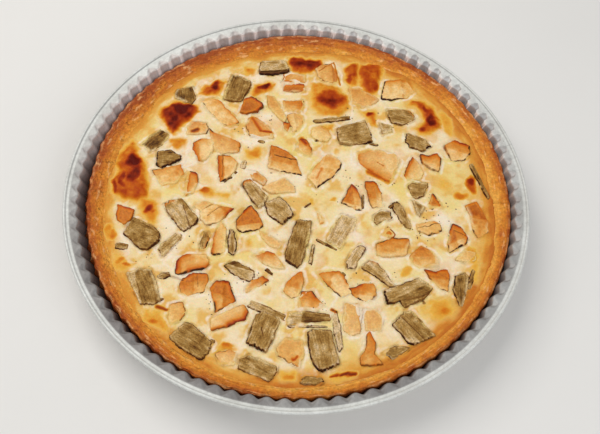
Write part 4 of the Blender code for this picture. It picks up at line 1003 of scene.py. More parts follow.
def cut_piece(piece, sizes):
    """One cut piece: rings drawn in from its ragged outline to a grained top.

    Each ring is the outline scaled about its middle. An edge's toast and dark fade with
    the square of the distance from it; the dark is partly painted shadow. Apple's toast
    has a faint tail besides, which fades with the distance itself, as does its deeper
    colour near a toasted edge. An edge with almost neither is lapped softly by custard.
    Right of a crease the top falls away, and its tone shifts as painted shading of that
    facet. Rhubarb's grain is noise drawn out along its fibres, which end a little sooner
    or later; its splits get painted shade.
    """
    rim = rounded_loop(piece.loop)
    middle = rim.mean(0)
    seed = int(abs(middle[0]) * 1e5 + abs(middle[1]) * 3e5) % 5000
    share = 1 - np.linspace(0, 0.97, FRUIT_RINGS)[:, None, None] ** 1.5
    calm = middle + share * (rim - middle)
    gaps = [segment_distance(calm[..., 0], calm[..., 1], start, end)
            for start, end in zip(piece.loop, np.roll(piece.loop, -1, axis=0))]
    gap = np.min(gaps, 0)
    gap = np.maximum(gap - gap[0] * share[..., 0] ** 4, 0)
    angle = math.radians(piece.turn)
    axis = np.array((math.cos(angle), math.sin(angle)))
    aside = (-axis[1], axis[0])
    run = rim - middle
    outside = run / np.hypot(*run.T)[:, None]
    wave = rough(*rim.T, 1.6 * MM, 2, 80) + 1.5 * rough(*rim.T, 5 * MM, 2, 82)
    wave = wave * sizes.ragged
    if piece.kind:
        strand = (run @ aside) / (0.9 * MM) + seed
        fray = lattice_noise(strand, np.sign(run @ axis) + 3.5, 85)
        fray = fray + 0.6 * lattice_noise(strand * 2.2, np.sign(run @ axis) + 3.5, 86)
        wave = wave + sizes.fray * (outside @ axis) ** 4 * (fray - 0.2)
    plan = middle + share * (rim + outside * wave[:, None] * MM - middle)
    x, y = plan[..., 0], plan[..., 1]
    along = (plan - middle) @ axis
    across = (plan - middle) @ aside
    noise = rough(x, y, 3 * MM, 3, 100)
    toast, dark, soft, warmth, shift, soak = np.zeros((6, *gap.shape))
    for (warm, black), away in zip(piece.edges, gaps):
        away = np.maximum(away + 0.5 * MM * noise, 0)
        warmth = np.maximum(warmth, warm / 9 * np.exp(-away / WARM_REACH))
        reach = (0.7 + 0.24 * warm) * MM
        fade = bell(away, reach)
        if not piece.kind:
            fade = np.maximum(fade, sizes.toast_glow * np.exp(-away / (1.5 * reach)))
        toast = np.maximum(toast, warm / 9 * fade)
        # Dark is partly dark skin and charred edge, partly painted shadow.
        dark = np.maximum(dark, (black + 1) / 9 * bell(away, (0.38 + 0.06 * black) * MM))
        if warm + black <= 2:
            soft = np.maximum(soft, bell(away, 1.7 * MM))
    toast = toast * (1.0 + 0.35 * noise)
    dark = dark * np.clip(1.25 + 1.4 * rough(x, y, 1.5 * MM, 2, 110), 0, 1.3)
    height = piece.level + piece.slope * along - rounded_drop(gap, FRUIT_BEVEL)
    for x1, y1, x2, y2, step in piece.creases:
        line = np.subtract((x2, y2), (x1, y1)) / math.hypot(x2 - x1, y2 - y1)
        beyond = (x - x1 * MM) * line[1] - (y - y1 * MM) * line[0] + 0.5 * MM * noise
        fall = np.clip(beyond, 0, None) * sizes.facet_slope
        height = height - np.minimum(fall, CREASE_FALL[piece.kind])
        # Painted shading of the facet beyond the crease: darker for a positive step, paler for a
        # negative one.
        shift = shift + step / 10 * ease(beyond / (0.6 * MM) + 0.5)
        ridge = bell(beyond, 0.45 * MM) * held(0.4 + noise)
        toast = np.maximum(toast, 0.0 if piece.kind else sizes.ridge_toast * ridge)
    if piece.kind:
        bend = 0.7 * MM * lattice_noise(along / (7 * MM) + seed, across / (5 * MM), 120)
        line = (across + bend) / (sizes.fibre_spacing * MM)
        fibre = lattice_noise(along / (9 * MM) + seed, line + seed, 130)
        fibre = fibre + 0.5 * lattice_noise(along / (6 * MM) + seed, line * 2.1, 131)
        split = held(lattice_noise(along / (14 * MM) + seed, line * 0.4, 132) - 0.55)
        height = height + sizes.fibre_depth * MM * fibre - 0.8 * MM * split * (gap > 0.6 * MM)
        height = height + 0.30 * MM * rough(x, y, 6 * MM, 2, 133)
        worn = bell(gap - 0.8 * MM, 0.5 * MM) * (rough(x, y, 3 * MM, 2, 135) > -0.2)
        grain = 0.5 - 0.25 * fibre + 0.8 * split - 0.55 * worn
        grain = grain + 0.8 * rough(x, y, 4 * MM, 3, 136)
        # Painted shade in the splits between the fibres.
        dark = np.maximum(dark, 0.9 * split)
        hue = piece.tone * 0.5 + 0.5 + shift + (grain - 0.5) * 0.42
    else:
        crown = held(1 - gap / (3.5 * MM)) ** 2
        height = height + 0.30 * MM * toast * crown + 0.25 * MM * noise
        height = height - 0.18 * MM * (1 - crown)
        hue = piece.tone + 0.03 + shift + 0.28 * noise
        hue = hue + sizes.warm_flesh * (warmth - warmth.mean())
        hue = hue + 0.12 * (y - middle[1]) / np.abs(y - middle[1]).max()
    mark_toast, mark_dark, mark_depth = mark_values(x, y)
    height = height - mark_depth
    toast = held(np.maximum(toast, mark_toast))
    dark = held(np.maximum(dark, mark_dark))
    if piece.sunk:
        edge = gap + 0.8 * MM * rough(x, y, 3 * MM, 2, 140)
        side = lattice_noise(x / (6 * MM) + seed, y / (6 * MM), 141)
        soak = held(1 - edge / (piece.sunk * MM)) * held(0.35 + 1.3 * side)
        film = 0.0 if piece.kind else 0.43 - 0.5 * piece.tone
        soak = np.maximum(soak, film * (0.7 + 0.5 * noise)) * (1 - toast) * (1 - dark)
        height = height + 0.25 * MM * ease(gap / (3 * MM))
    soft = 0.8 * soft * held(0.75 + noise) * (1 - toast) * (1 - dark)
    top = np.stack([x, y, height], -1)
    wall = []
    for drop, swell in ((1.0, -0.01), (0.12, 0.015)):
        ring = top[0].copy()
        ring[:, 2] = mix(ring[:, 2], FRUIT_FOOT, drop)
        ring[:, :2] = mix(middle, ring[:, :2], 1 + swell)
        wall.append(ring)
    points, quads, triangles = turned_shape(
        np.stack([*wall, *top]), (*middle, FRUIT_FOOT), (*middle, height[-1].mean()))
    flat = np.stack([toast, dark, held(hue), np.maximum(soak, soft)], -1)
    side = flat[0].copy()
    side[:, 1] = np.maximum(side[:, 1], WALL_DARK)
    marks = np.concatenate([side, side, *flat, side[:1], flat[-1, -1:]])
    lines = np.stack([along, across], -1)
    weave = np.concatenate([lines[0], lines[0], *lines, lines[0, :1], lines[-1, -1:]])
    return points, quads, triangles, marks, weave + seed * 7 * MM


def fruit_layout():
    """Every cut piece of the table, proud ones with the height of their node."""
    pieces = []
    for name, turn, tone, rise, corners, *creases in FRUIT:
        loop = np.array([corner[:2] for corner in corners]) * MM
        edges = [(0, 0, *corner[2:])[-2:] for corner in corners]
        kind = int(name.startswith("rhubarb"))
        if rise:
            level, slope, name = CUSTARD_LEVEL + (rise + SUNK_RISE) * MM, 0.0, ""
            sunk = SUNK_REACH[kind]
        else:
            level, slope = node_level(name, turn)
            sunk = 0.0
        pieces.append(CutPiece(loop, edges, creases, level, slope, turn, kind, tone, sunk, name))
    return pieces


# ---- Custard ----

def window(x, y, loop, margin):
    """Which places lie within a margin of the box round an outline."""
    low, high = loop.min(0) - margin, loop.max(0) + margin
    return (x > low[0]) & (x < high[0]) & (y > low[1]) & (y < high[1])


def lift(field, near, values):
    """Raises a field to the given values in a window, where it lies below them."""
    field[near] = np.maximum(field[near], values)


def blister_fields(x, y):
    """Rise, brownness and yellow fringe of the blisters and spots.

    A blister swells inward over four millimetres as one less the square of the share of
    the way that is left. Its outline is warped by noise.
    """
    rise, brown, fringe = np.zeros((3, *x.shape))
    warp_x = x + 2.4 * MM * rough(x, y, 7 * MM, 3, 200)
    warp_y = y + 2.4 * MM * rough(x, y, 7 * MM, 3, 210)
    mottle = rough(x, y, 4 * MM, 3, 220)
    for height, strength, corners in BLISTERS:
        loop = np.array(corners) * MM
        near = window(x, y, loop, 7 * MM)
        gap = outline_distance(warp_x[near], warp_y[near], loop)
        lift(rise, near, height * MM * (1 - held(1 + gap / (4 * MM)) ** 2))
        core = ease((2.5 * MM - gap) / (5.6 * MM)) * (1 + 0.40 * mottle[near])
        lift(brown, near, strength * core)
        lift(fringe, near, min(strength, 0.5) * bell(np.clip(gap, 0, None), 3.2 * MM))
    for *spot, strength in SPOTS:
        core = ease(np.clip(1.6 - ellipse_share(warp_x, warp_y, spot), 0, 1.6) / 1.6)
        brown = np.maximum(brown, strength * core * (1 + 0.25 * mottle))
    return rise, np.clip(brown, 0, 1.1), fringe


def custard_shape(sizes, pieces):
    """The custard's surface over a square grid bent onto its uneven round outline.

    A square point (u, v) goes to the disc at u times the root of one less half v
    squared, and the same the other way round. Its height adds lumps, folds, blisters, a
    climb at the pastry and a lip round each piece of fruit, and laps over a sunk one.
    Under a piece it sinks with the distance inward, so that it stays below the fruit.
    """
    line = np.linspace(-1, 1, CUSTARD_CELLS + 1)
    u, v = np.meshgrid(line, line)
    disc_x = u * np.sqrt(1 - v * v / 2)
    disc_y = v * np.sqrt(1 - u * u / 2)
    angle = np.arctan2(disc_y, disc_x)
    reach = np.hypot(disc_x, disc_y)
    limit = crust_inner(angle) + CUSTARD_OVERLAP
    x = reach * limit * np.cos(angle)
    y = reach * limit * np.sin(angle)
    to_edge = (1 - reach) * limit - CUSTARD_OVERLAP
    climb = np.clip(1 - to_edge / CUSTARD_EDGE_WIDTH, 0, 1.1)
    rise, brown, fringe = blister_fields(x, y)
    lump = sizes.custard_lump * MM * rough(x, y, 14 * MM, 4, 230)
    wrinkle = 0.35 * MM * held(brown - 0.4) * rough(x, y, 3 * MM, 2, 240)
    folds = held(1 - np.abs(rough(x, y, 10 * MM, 3, 280)) * 4)
    fold = folds * held(0.3 + 2 * rough(x, y, 18 * MM, 2, 285)) * (rise < 0.3 * MM)
    lump = lump + sizes.custard_fold * MM * fold
    tint = np.clip(0.06 + 0.64 * rough(x, y, 8 * MM, 3, 290), 0, 0.31)
    streaks = rough(angle * 125 * MM / 3.5, reach * limit, 3 * MM, 3, 295)
    base = CUSTARD_LEVEL + CUSTARD_EDGE_RISE * climb ** 2 + lump + rise + wrinkle
    height = base.copy()
    ripple = rough(x, y, 3.2 * MM, 3, 250)
    cling = rough(x, y, 5 * MM, 3, 252)
    # Pale: cloudy cream, with painted highlights on the folds.
    pale = 0.20 + 0.80 * rough(x, y, 15 * MM, 3, 270) + 0.5 * fold
    crevice_shade, sink = np.zeros((2, *x.shape))
    for piece in pieces:
        near = window(x, y, piece.loop, 5 * MM)
        gap = outline_distance(x[near], y[near], piece.loop)
        flow = ripple[near]
        # Painted contact shade along each piece's edge, where the custard is also dug a little.
        line = bell(gap - 0.3 * MM, 0.55 * MM) * (1.0 if piece.kind else 0.5)
        lift(crevice_shade, near, line * held(0.32 + 1.2 * flow))
        # Painted highlight: a pale rim on the custard's lip round the fruit.
        lift(pale, near, bell(gap - 1.5 * MM, 1.2 * MM) * held(0.5 - 0.9 * flow))
        if piece.sunk:
            bump = (piece.level - CUSTARD_LEVEL) * ease((0.7 * MM - gap) / (1.8 * MM))
            bump = bump + 0.30 * MM * flow * (gap < 0)
            lift(height, near, base[near] + bump)
            lap = lattice_noise(x[near] / (7 * MM), y[near] / (7 * MM), 255)
            cover = piece.sunk * (0.23 + 0.73 * lap) * MM
            lift(sink, near, np.clip(-gap - cover, 0, 3 * MM) * SINK_SLOPE)
            lift(tint, near, ease((1.0 * MM - gap) / (2 * MM)) * 0.3)
        else:
            lip = sizes.custard_lip * MM * (0.42 + 1.2 * cling[near])
            lift(height, near, base[near] + lip * np.exp(-np.clip(gap, 0, None) / (1.2 * MM)))
            lift(sink, near, SINK_SLOPE * np.clip(-gap, 0, 2.4 * MM))
    mark_toast, mark_dark, mark_depth = mark_values(x, y)
    height = height - sink - 0.5 * mark_depth - 0.35 * MM * crevice_shade
    # The painted contact shade joins the dark marks.
    mark_dark = np.maximum(mark_dark, 0.75 * crevice_shade)
    glow_noise = rough(x, y, 16 * MM, 3, 260)
    reach_in = GLOW_WIDTH * (1.03 + 0.30 * np.cos(angle + 0.7))
    glow = np.clip(1 - (to_edge + 3.5 * MM * glow_noise) / reach_in, 0, 1.2) ** 1.4
    warmth = sizes.edge_glow * (0.91 + 0.24 * np.cos(angle + 0.3))
    for deeper in (warmth * glow + 0.45 * streaks * glow * (glow < 0.9),
                   np.clip(brown * 1.6, 0, 0.5), 0.9 * fringe):
        tint = np.maximum(tint, deeper)
    brown = np.maximum(brown, 0.75 * mark_toast)
    pale = pale * held(1 - 3 * brown) * held(1.3 - 1.6 * glow)
    top = np.stack([x, y, height], -1)
    edge = top.reshape(-1, 3)[border_loop(*x.shape)]
    around = np.arctan2(edge[:, 1], edge[:, 0])
    under = PASTRY_FLOOR + CLEARANCE
    waist = crust_inner(around) - CLEARANCE
    rings = np.stack([ring_points(waist, CUSTARD_LEVEL - WAIST_DROP, around),
                      ring_points(waist, CUSTARD_FOOT, around),
                      ring_points(FLOOR_RADIUS - CLEARANCE, under, around)])
    points, quads, triangles = closed_patch(top, rings, np.array([0.0, 0.0, under]))
    flat = np.stack([brown, held(tint), mark_dark, pale], -1).reshape(-1, 4)
    plain = np.tile((0.0, 1.0, 0.0, 0.0), (len(points) - x.size, 1))
    return points, quads, triangles, np.concatenate([flat, plain]), points[:, :2]


# ---- Shreds and flecks ----

def shred_outline(length, width, dice):
    """Outline of a shred in its own frame: four corners and two bowed sides."""
    front = width * (1 - SHRED_TAPER)
    middle = (front + width) / 2
    half = length / 2
    bow = width * mix(*SHRED_BOW, dice.random())
    slip = length * SHRED_SLIP * (dice.random() * 2 - 1)
    skew = length * SHRED_SKEW * (dice.random() * 2 - 1)
    return np.array([
        (half, -front / 2),
        (half + skew, front / 2),
        (slip, middle / 2 + bow),
        (-half + skew, width / 2),
        (-half, -width / 2),
        (-slip, -middle / 2 - bow),
    ]) * MM


def shred_shapes(sizes):
    """Thin strips of rhubarb as small cut pieces that lie in the custard.

    The random draws of each come from its place, so they are the same each time.
    """
    shapes = []
    for x, y, length, width, turn, rise, tone in SHREDS:
        dice = random.Random(round(x * 10) * 4001 + round(y * 10))
        loop = turned(shred_outline(length, width, dice), turn) + np.array((x, y)) * MM
        level = CUSTARD_LEVEL + rise * MM
        edges = [SHRED_EDGE] * len(loop)
        piece = CutPiece(loop, edges, [], level, 0.0, turn, 1, tone, SHRED_SUNK, "")
        shapes.append(cut_piece(piece, sizes))
    return shapes


def fleck_shape(sizes, height_at):
    """Tiny dark flecks: flattened six-sided grains scattered in clusters."""
    dice = np.random.default_rng(sizes.fleck_seed)
    places = [dice.normal((x, y), spread / 1.6, (count, 2))
              for x, y, spread, count in FLECK_CLUSTERS]
    plan = np.concatenate(places) * MM
    plan = plan[np.hypot(plan[:, 0], plan[:, 1]) < FLECK_LIMIT]
    count = len(plan)
    size = dice.uniform(0.22, 0.55, (count, 1)) * MM
    stretch = dice.uniform(0.6, 1.6, (count, 1))
    side = np.arange(FLECK_SIDES)
    turn = dice.uniform(0, math.tau, (count, 1)) + side / FLECK_SIDES * math.tau
    ring_x = plan[:, :1] + size * stretch * np.cos(turn)
    ring_y = plan[:, 1:] + size / stretch * np.sin(turn)
    level = height_at(plan)[:, None]
    ring = np.stack([ring_x, ring_y, np.broadcast_to(level, ring_x.shape)], -1)
    tip = np.concatenate([plan, level + size * 0.6], -1)[:, None]
    tail = tip - np.array((0, 0, 1)) * (size * 1.6)[:, None]
    points = np.concatenate([ring, tip, tail], 1)
    local = np.concatenate([fan_faces(side, FLECK_SIDES),
                            fan_faces(side, FLECK_SIDES + 1)[:, (1, 0, 2)]])
    triangles = local + points.shape[1] * np.arange(count)[:, None, None]
    points = points.reshape(-1, 3)
    quads, triangles = outward(points, np.zeros((0, 4), int), triangles.reshape(-1, 3))
    marks = np.tile((0.0, 1.0, 0.5, 0.0), (len(points), 1))
    return points, quads, triangles, marks, points[:, :2]


# ---- Node materials ----

def linear(*srgb):
    """A colour given as 0 to 255 display values, as linear values."""
    shares = (value / 255 for value in srgb)
    return tuple(share / 12.92 if share <= 0.04045 else ((share + 0.055) / 1.055) ** 2.4
                 for share in shares)


def add_node(tree, kind, inputs=None, **settings):
    """A node with its settings made and its inputs set or linked."""
    node = tree.nodes.new(kind)
    for key, value in settings.items():
        setattr(node, key, value)
    for key, value in (inputs or {}).items():
        if isinstance(value, bpy.types.NodeSocket):
            tree.links.new(value, node.inputs[key])
        else:
            node.inputs[key].default_value = value
    return node


def maths(tree, operation, a, b=0.0, clamp=False):
    """The result of one arithmetic step on two values."""
    node = add_node(tree, "ShaderNodeMath", {0: a, 1: b}, operation=operation, use_clamp=clamp)
    return node.outputs[0]


def times(tree, a, b):
    """The product of two values."""
    return maths(tree, "MULTIPLY", a, b)


def plus(tree, a, b, clamp=False):
    """The sum of two values, held between 0 and 1 where that is asked for."""
    return maths(tree, "ADD", a, b, clamp)


def swing(tree, value, amount):
    """How far a value lies from a half, times an amount."""
    return times(tree, maths(tree, "SUBTRACT", value, 0.5), amount)


def blend(tree, factor, a, b, mode="MIX"):
    """Two colours, each a socket or three linear values, mixed by a factor."""
    a, b = (value if isinstance(value, bpy.types.NodeSocket) else (*value, 1.0)
            for value in (a, b))
    node = add_node(tree, "ShaderNodeMix", {0: factor, 6: a, 7: b},
                    data_type="RGBA", blend_type=mode)
    return node.outputs[2]


def stained(tree, base, value, amount, *srgb):
    """A colour taken towards one in display values, by an amount of a value."""
    return blend(tree, times(tree, value, amount), base, linear(*srgb))


def texture(tree, vector, scale, detail=3.0, roughness=0.6):
    """Noise of a scale in cells to the metre, as a value round a half."""
    node = add_node(tree, "ShaderNodeTexNoise", {"Vector": vector, "Scale": scale,
                                                 "Detail": detail, "Roughness": roughness})
    return node.outputs[0]


def stretched_noise(tree, vector, scale, detail, roughness=0.6, turn=0.0):
    """Noise with its own scale on each axis, turned about the third."""
    node = add_node(tree, "ShaderNodeMapping", {"Vector": vector, "Scale": scale,
                                                "Rotation": (0.0, 0.0, turn)})
    return texture(tree, node.outputs[0], 1.0, detail, roughness)


def weave_map(tree):
    """The piece's own map, in metres along its grain and across it."""
    return add_node(tree, "ShaderNodeUVMap", uv_map="weave").outputs[0]


def ramp(tree, value, *stops):
    """A colour read by a value from stops of (place, red, green, blue), display values."""
    node = add_node(tree, "ShaderNodeValToRGB", {0: value})
    elements = node.color_ramp.elements
    elements.remove(elements[-1])
    for index, (place, *colour) in enumerate(stops):
        element = elements.new(place) if index else elements[0]
        element.position = place
        element.color = (*linear(*colour), 1.0)
    return node.outputs[0]


def spread(tree, value, low, high, new_low=0.0, new_high=1.0):
    """A value mapped from one range to another and held in it."""
    node = add_node(tree, "ShaderNodeMapRange", {"Value": value, "From Min": low,
                    "From Max": high, "To Min": new_low, "To Max": new_high}, clamp=True)
    return node.outputs[0]


def mottled(tree, base, place, amount, scale):
    """A colour made lighter and darker in fine grains, by a share of itself."""
    noise = texture(tree, place, scale, roughness=0.65)
    grain = spread(tree, noise, 0.32, 0.68, 1.0 - amount, 1.0 + amount)
    grey = add_node(tree, "ShaderNodeCombineColor", {0: grain, 1: grain, 2: grain}).outputs[0]
    return blend(tree, 1.0, base, grey, "MULTIPLY")


def start_material(name, **fixed):
    """A material, its tree, object coordinates and the four values of its bake attribute."""
    material = bpy.data.materials.new(name)
    material.use_nodes = True
    tree = material.node_tree
    for key, value in fixed.items():
        tree.nodes["Principled BSDF"].inputs[key.replace("_", " ")].default_value = value
    place = add_node(tree, "ShaderNodeTexCoord").outputs["Object"]
    bake = add_node(tree, "ShaderNodeAttribute", attribute_name="bake")
    parts = add_node(tree, "ShaderNodeSeparateColor", {0: bake.outputs["Color"]})
    return material, tree, place, (*parts.outputs, bake.outputs["Alpha"])


def finished(material, base, **relief):
    """The material with its colour linked and, where it has relief, its bump."""
    tree = material.node_tree
    shader = tree.nodes["Principled BSDF"]
    tree.links.new(base, shader.inputs["Base Color"])
    if relief:
        bump = add_node(tree, "ShaderNodeBump", relief)
        tree.links.new(bump.outputs[0], shader.inputs["Normal"])
    return material


def custard_colour(tree, place, brown, tint, colours):
    """Colour of the custard: cream to gold by the tint, and through orange to dark."""
    clouds = texture(tree, place, 55.0)
    fine = texture(tree, place, 420.0)
    cream = blend(tree, spread(tree, clouds, 0.40, 0.68), colours.custard_pale,
                  colours.custard_cream)
    lemon = spread(tree, texture(tree, place, 34.0, 2.0, 0.5), 0.46, 0.62, 0.0, 0.7)
    cream = blend(tree, lemon, cream, linear(236, 208, 118))
    shift = times(tree, swing(tree, fine, 0.22), spread(tree, brown, 0.02, 0.3))
    level = plus(tree, brown, shift, clamp=True)
    shift = times(tree, swing(tree, clouds, 0.5), tint)
    gold_level = plus(tree, tint, shift, clamp=True)
    gold = ramp(tree, gold_level, (0.00, 239, 207, 138), (0.25, 231, 187, 104),
                (0.50, 223, 160, 68), (0.75, 212, 138, 52), (1.00, 195, 112, 40))
    cream = blend(tree, spread(tree, gold_level, 0.02, 0.30), cream, gold)
    baked = ramp(tree, level, (0.00, 238, 204, 124), (0.14, 232, 178, 74),
                 (0.30, 220, 140, 38), (0.46, 200, 100, 20), (0.62, 174, 66, 14),
                 (0.80, 140, 40, 10), (1.00, 92, 16, 5))
    return blend(tree, spread(tree, level, 0.0, 0.14), cream, baked)


def tin_material(colours):
    """Pale, slightly worn sheet metal with fine scratches and dull specks, with painted shade in its
    grooves, low on its walls, on its near flange and inside its bead, and painted light on its far
    wall.
    """
    material, tree, place, bake = start_material("pale_tin", Roughness=0.6, Metallic=0.3)
    painted_shade_and_grey, deep, dark_line_and_shade, painted_light_and_tone = bake
    cloud = texture(tree, place, 60.0, 4.0)
    scratch = stretched_noise(tree, place, (900.0, 60.0, 900.0), 2.0, turn=0.6)
    speck = spread(tree, texture(tree, place, 520.0, 2.0), 0.70, 0.76)
    base = blend(tree, spread(tree, cloud, 0.35, 0.7), colours.tin, colours.tin_dull)
    # Painted light on the far wall, through pinkish grey to near white; outside, a plain tone.
    base = blend(tree, spread(tree, painted_light_and_tone, 0.0, 0.5), base, linear(222, 213, 207))
    base = blend(tree, spread(tree, painted_light_and_tone, 0.5, 1.0), base, linear(254, 252, 250))
    # Painted shade in the grooves' traces and on the near flange; outside, a plain grey.
    painted_shade_and_grey = times(tree, painted_shade_and_grey, spread(tree, cloud, 0.3, 0.6, 0.70, 1.0))
    base = blend(tree, painted_shade_and_grey, base, colours.tin_shade_grey)
    # Deep painted shade low on the walls and at the hooks of the grooves.
    base = stained(tree, base, deep, 0.9, 74, 50, 44)
    # The painted shade line in the crease inside the bead.
    base = stained(tree, base, dark_line_and_shade, 0.55, 84, 80, 80)
    base = stained(tree, base, speck, 0.55, 120, 112, 100)
    base = mottled(tree, base, place, 0.10, 500.0)
    dull = spread(tree, plus(tree, cloud, times(tree, scratch, 0.4)), 0.4, 1.0, 0.50, 0.68)
    tree.links.new(dull, tree.nodes["Principled BSDF"].inputs["Roughness"])
    height = plus(tree, times(tree, scratch, 0.5), cloud)
    return finished(material, base, Height=height, Strength=0.25, Distance=0.0004)


def pastry_material():
    """Baked pastry: golden inside, deeper at its outer edge, speckled and finely cracked, with a
    broken painted highlight along its outer top edge.
    """
    material, tree, place, (share, shade, patch, rugged) = start_material(
        "golden_pastry", Roughness=0.6, Specular_IOR_Level=0.2)
    line = weave_map(tree)
    streak = stretched_noise(tree, line, (55.0, 420.0, 1.0), 4.0)
    fine = texture(tree, place, 700.0, 4.0, 0.7)
    middle = texture(tree, place, 160.0, 4.0)
    level = plus(tree, swing(tree, middle, 1.05), share)
    level = plus(tree, level, swing(tree, streak, 1.15))
    level = plus(tree, level, swing(tree, patch, 0.50))
    level = plus(tree, level, swing(tree, shade, 0.35), clamp=True)
    base = ramp(tree, level, (0.00, 162, 76, 26), (0.10, 182, 96, 34), (0.34, 199, 113, 34),
                (0.62, 214, 134, 42), (1.00, 234, 166, 68))
    squiggle = stretched_noise(tree, line, (150.0, 330.0, 1.0), 2.0, 0.5)
    squiggle = maths(tree, "ABSOLUTE", maths(tree, "SUBTRACT", squiggle, 0.5))
    squiggle = times(tree, spread(tree, squiggle, 0.004, 0.018, 1.0, 0.0),
                     spread(tree, middle, 0.50, 0.60))
    squiggle = times(tree, squiggle, rugged)
    base = stained(tree, base, squiggle, 0.65, 128, 56, 20)
    dark = times(tree, spread(tree, fine, 0.64, 0.76), rugged)
    base = stained(tree, base, dark, 0.40, 136, 62, 20)
    flake = stretched_noise(tree, line, (120.0, 380.0, 1.0), 3.0, 0.55)
    base = stained(tree, base, spread(tree, flake, 0.58, 0.67), 0.62, 242, 184, 122)
    # Painted highlight: a broken light line along the pastry's outer top edge.
    edge = times(tree, spread(tree, share, 0.01, 0.05), spread(tree, share, 0.09, 0.17, 1.0, 0.0))
    edge = times(tree, edge, spread(tree, middle, 0.46, 0.58))
    base = stained(tree, base, edge, 0.45, 242, 182, 126)
    base = mottled(tree, base, place, 0.22, 620.0)
    height = plus(tree, times(tree, fine, 0.35), flake)
    height = maths(tree, "SUBTRACT", height, times(tree, squiggle, 0.3))
    height = times(tree, height, plus(tree, rugged, 0.15))
    return finished(material, base, Height=height, Strength=0.9, Distance=0.0020)


def custard_material(colours):
    """Baked custard: finely grained and slightly glossy, with pale rims and folds that carry painted
    highlights, and dark seams of painted contact shade at the fruit's edges, besides the drawn dark
    marks.
    """
    material, tree, place, (brown, tint, dark, pale) = start_material(
        "set_custard", Roughness=0.45, Specular_IOR_Level=0.06, Subsurface_Weight=0.12,
        Subsurface_Scale=0.002)
    base = custard_colour(tree, place, brown, tint, colours)
    # Pale clouds, painted highlights on the folds and on the rims at the fruit.
    base = stained(tree, base, spread(tree, pale, 0.2, 0.9), 0.8, 248, 232, 210)
    # Painted contact shade at the fruit's edges, and the drawn dark marks.
    base = stained(tree, base, dark, 0.85, 122, 74, 30)
    base = mottled(tree, base, place, 0.05, 700.0)
    height = plus(tree, times(tree, texture(tree, place, 700.0), 0.12),
                  texture(tree, place, 120.0, 4.0))
    return finished(material, base, Height=height, Strength=0.7, Distance=0.0022)


def toasted(tree, base, toast, dark, place):
    """A base colour browned through orange to nearly black by toast and dark values; the dark values
    are partly painted shadow.
    """
    grain = swing(tree, texture(tree, place, 800.0), 0.35)
    grain = times(tree, grain, spread(tree, toast, 0.02, 0.3))
    level = plus(tree, toast, grain, clamp=True)
    brown = ramp(tree, level, (0.00, 224, 150, 66), (0.35, 214, 126, 34), (0.65, 200, 100, 20),
                 (0.85, 176, 70, 14), (1.00, 132, 38, 10))
    base = blend(tree, spread(tree, level, 0.04, 0.42), base, brown)
    # Colour of the dark values, partly painted shadow.
    dark_line_and_shade = ramp(tree, dark, (0.3, 122, 66, 24), (1.0, 56, 26, 10))
    return blend(tree, spread(tree, dark, 0.12, 0.75), base, dark_line_and_shade)


def baked_flesh(tree, place, bake, base, colours, edge):
    """A fruit's own colour, toasted, and covered by custard where that laps over it."""
    toast, dark, _, soak = bake
    base = toasted(tree, base, toast, dark, place)
    cover = custard_colour(tree, place, times(tree, toast, 0.3), times(tree, soak, 0.15), colours)
    return blend(tree, spread(tree, soak, edge, 1 - edge), base, cover)


def rhubarb_material(colours):
    """Baked rhubarb: khaki flesh with long fibres, pale threads, and dark seams that are partly
    painted shade in its splits and along shaded edges.
    """
    material, tree, place, bake = start_material(
        "baked_rhubarb", Roughness=0.55, Specular_IOR_Level=0.12)
    line = weave_map(tree)
    threads = stretched_noise(tree, line, (170.0, 1250.0, 1.0), 5.0, 0.72)
    broad = stretched_noise(tree, line, (90.0, 500.0, 1.0), 3.0)
    level = plus(tree, bake[2], swing(tree, threads, 1.05))
    level = plus(tree, level, swing(tree, broad, 0.35), clamp=True)
    base = ramp(tree, level, (0.00, 230, 200, 156), (0.28, 202, 164, 104),
                (0.52, 172, 130, 66), (0.78, 138, 96, 40), (1.00, 82, 48, 18))
    base = stained(tree, base, spread(tree, threads, 0.30, 0.36, 1.0, 0.0), 0.55, 92, 62, 28)
    base = baked_flesh(tree, place, bake, base, colours, 0.1)
    base = mottled(tree, base, place, 0.34, 1100.0)
    height = plus(tree, threads, broad)
    return finished(material, base, Height=height, Strength=0.8, Distance=0.0010)


def apple_material(colours):
    """Baked apple: pale peach to orange flesh, toasted on its raised edges."""
    material, tree, place, bake = start_material(
        "baked_apple", Roughness=0.42, Specular_IOR_Level=0.12, Subsurface_Weight=0.1,
        Subsurface_Scale=0.002)
    veins = stretched_noise(tree, weave_map(tree), (160.0, 420.0, 1.0), 3.0)
    level = plus(tree, bake[2], swing(tree, veins, 0.25))
    level = plus(tree, level, swing(tree, texture(tree, place, 210.0), 0.30), clamp=True)
    base = ramp(tree, level, (0.00, 242, 204, 142), (0.30, 229, 172, 92),
                (0.60, 213, 138, 56), (0.84, 200, 112, 32), (1.00, 172, 82, 18))
    base = baked_flesh(tree, place, bake, base, colours, 0.05)
    base = mottled(tree, base, place, 0.13, 800.0)
    height = plus(tree, times(tree, texture(tree, place, 900.0), 0.4), veins)
    return finished(material, base, Height=height, Strength=0.35, Distance=0.0006)


def fleck_material():
    """Charred crumbs: nearly black with brown grains."""
    material, tree, place, _ = start_material("charred_crumbs", Roughness=0.6)
    grain = texture(tree, place, 1500.0, 2.0)
    return finished(material, ramp(tree, grain, (0.30, 40, 22, 12), (0.70, 120, 74, 36)))


def floor_material(colours):
    """A plain pale floor with a faint unevenness."""
    material, tree, place, _ = start_material("pale_floor", Roughness=0.7)
    cloud = spread(tree, texture(tree, place, 9.0), 0.3, 0.7)
    shaded = tuple(value * FLOOR_SHADE for value in colours.floor)
    return finished(material, blend(tree, cloud, colours.floor, shaded))


# ---- Settings ----

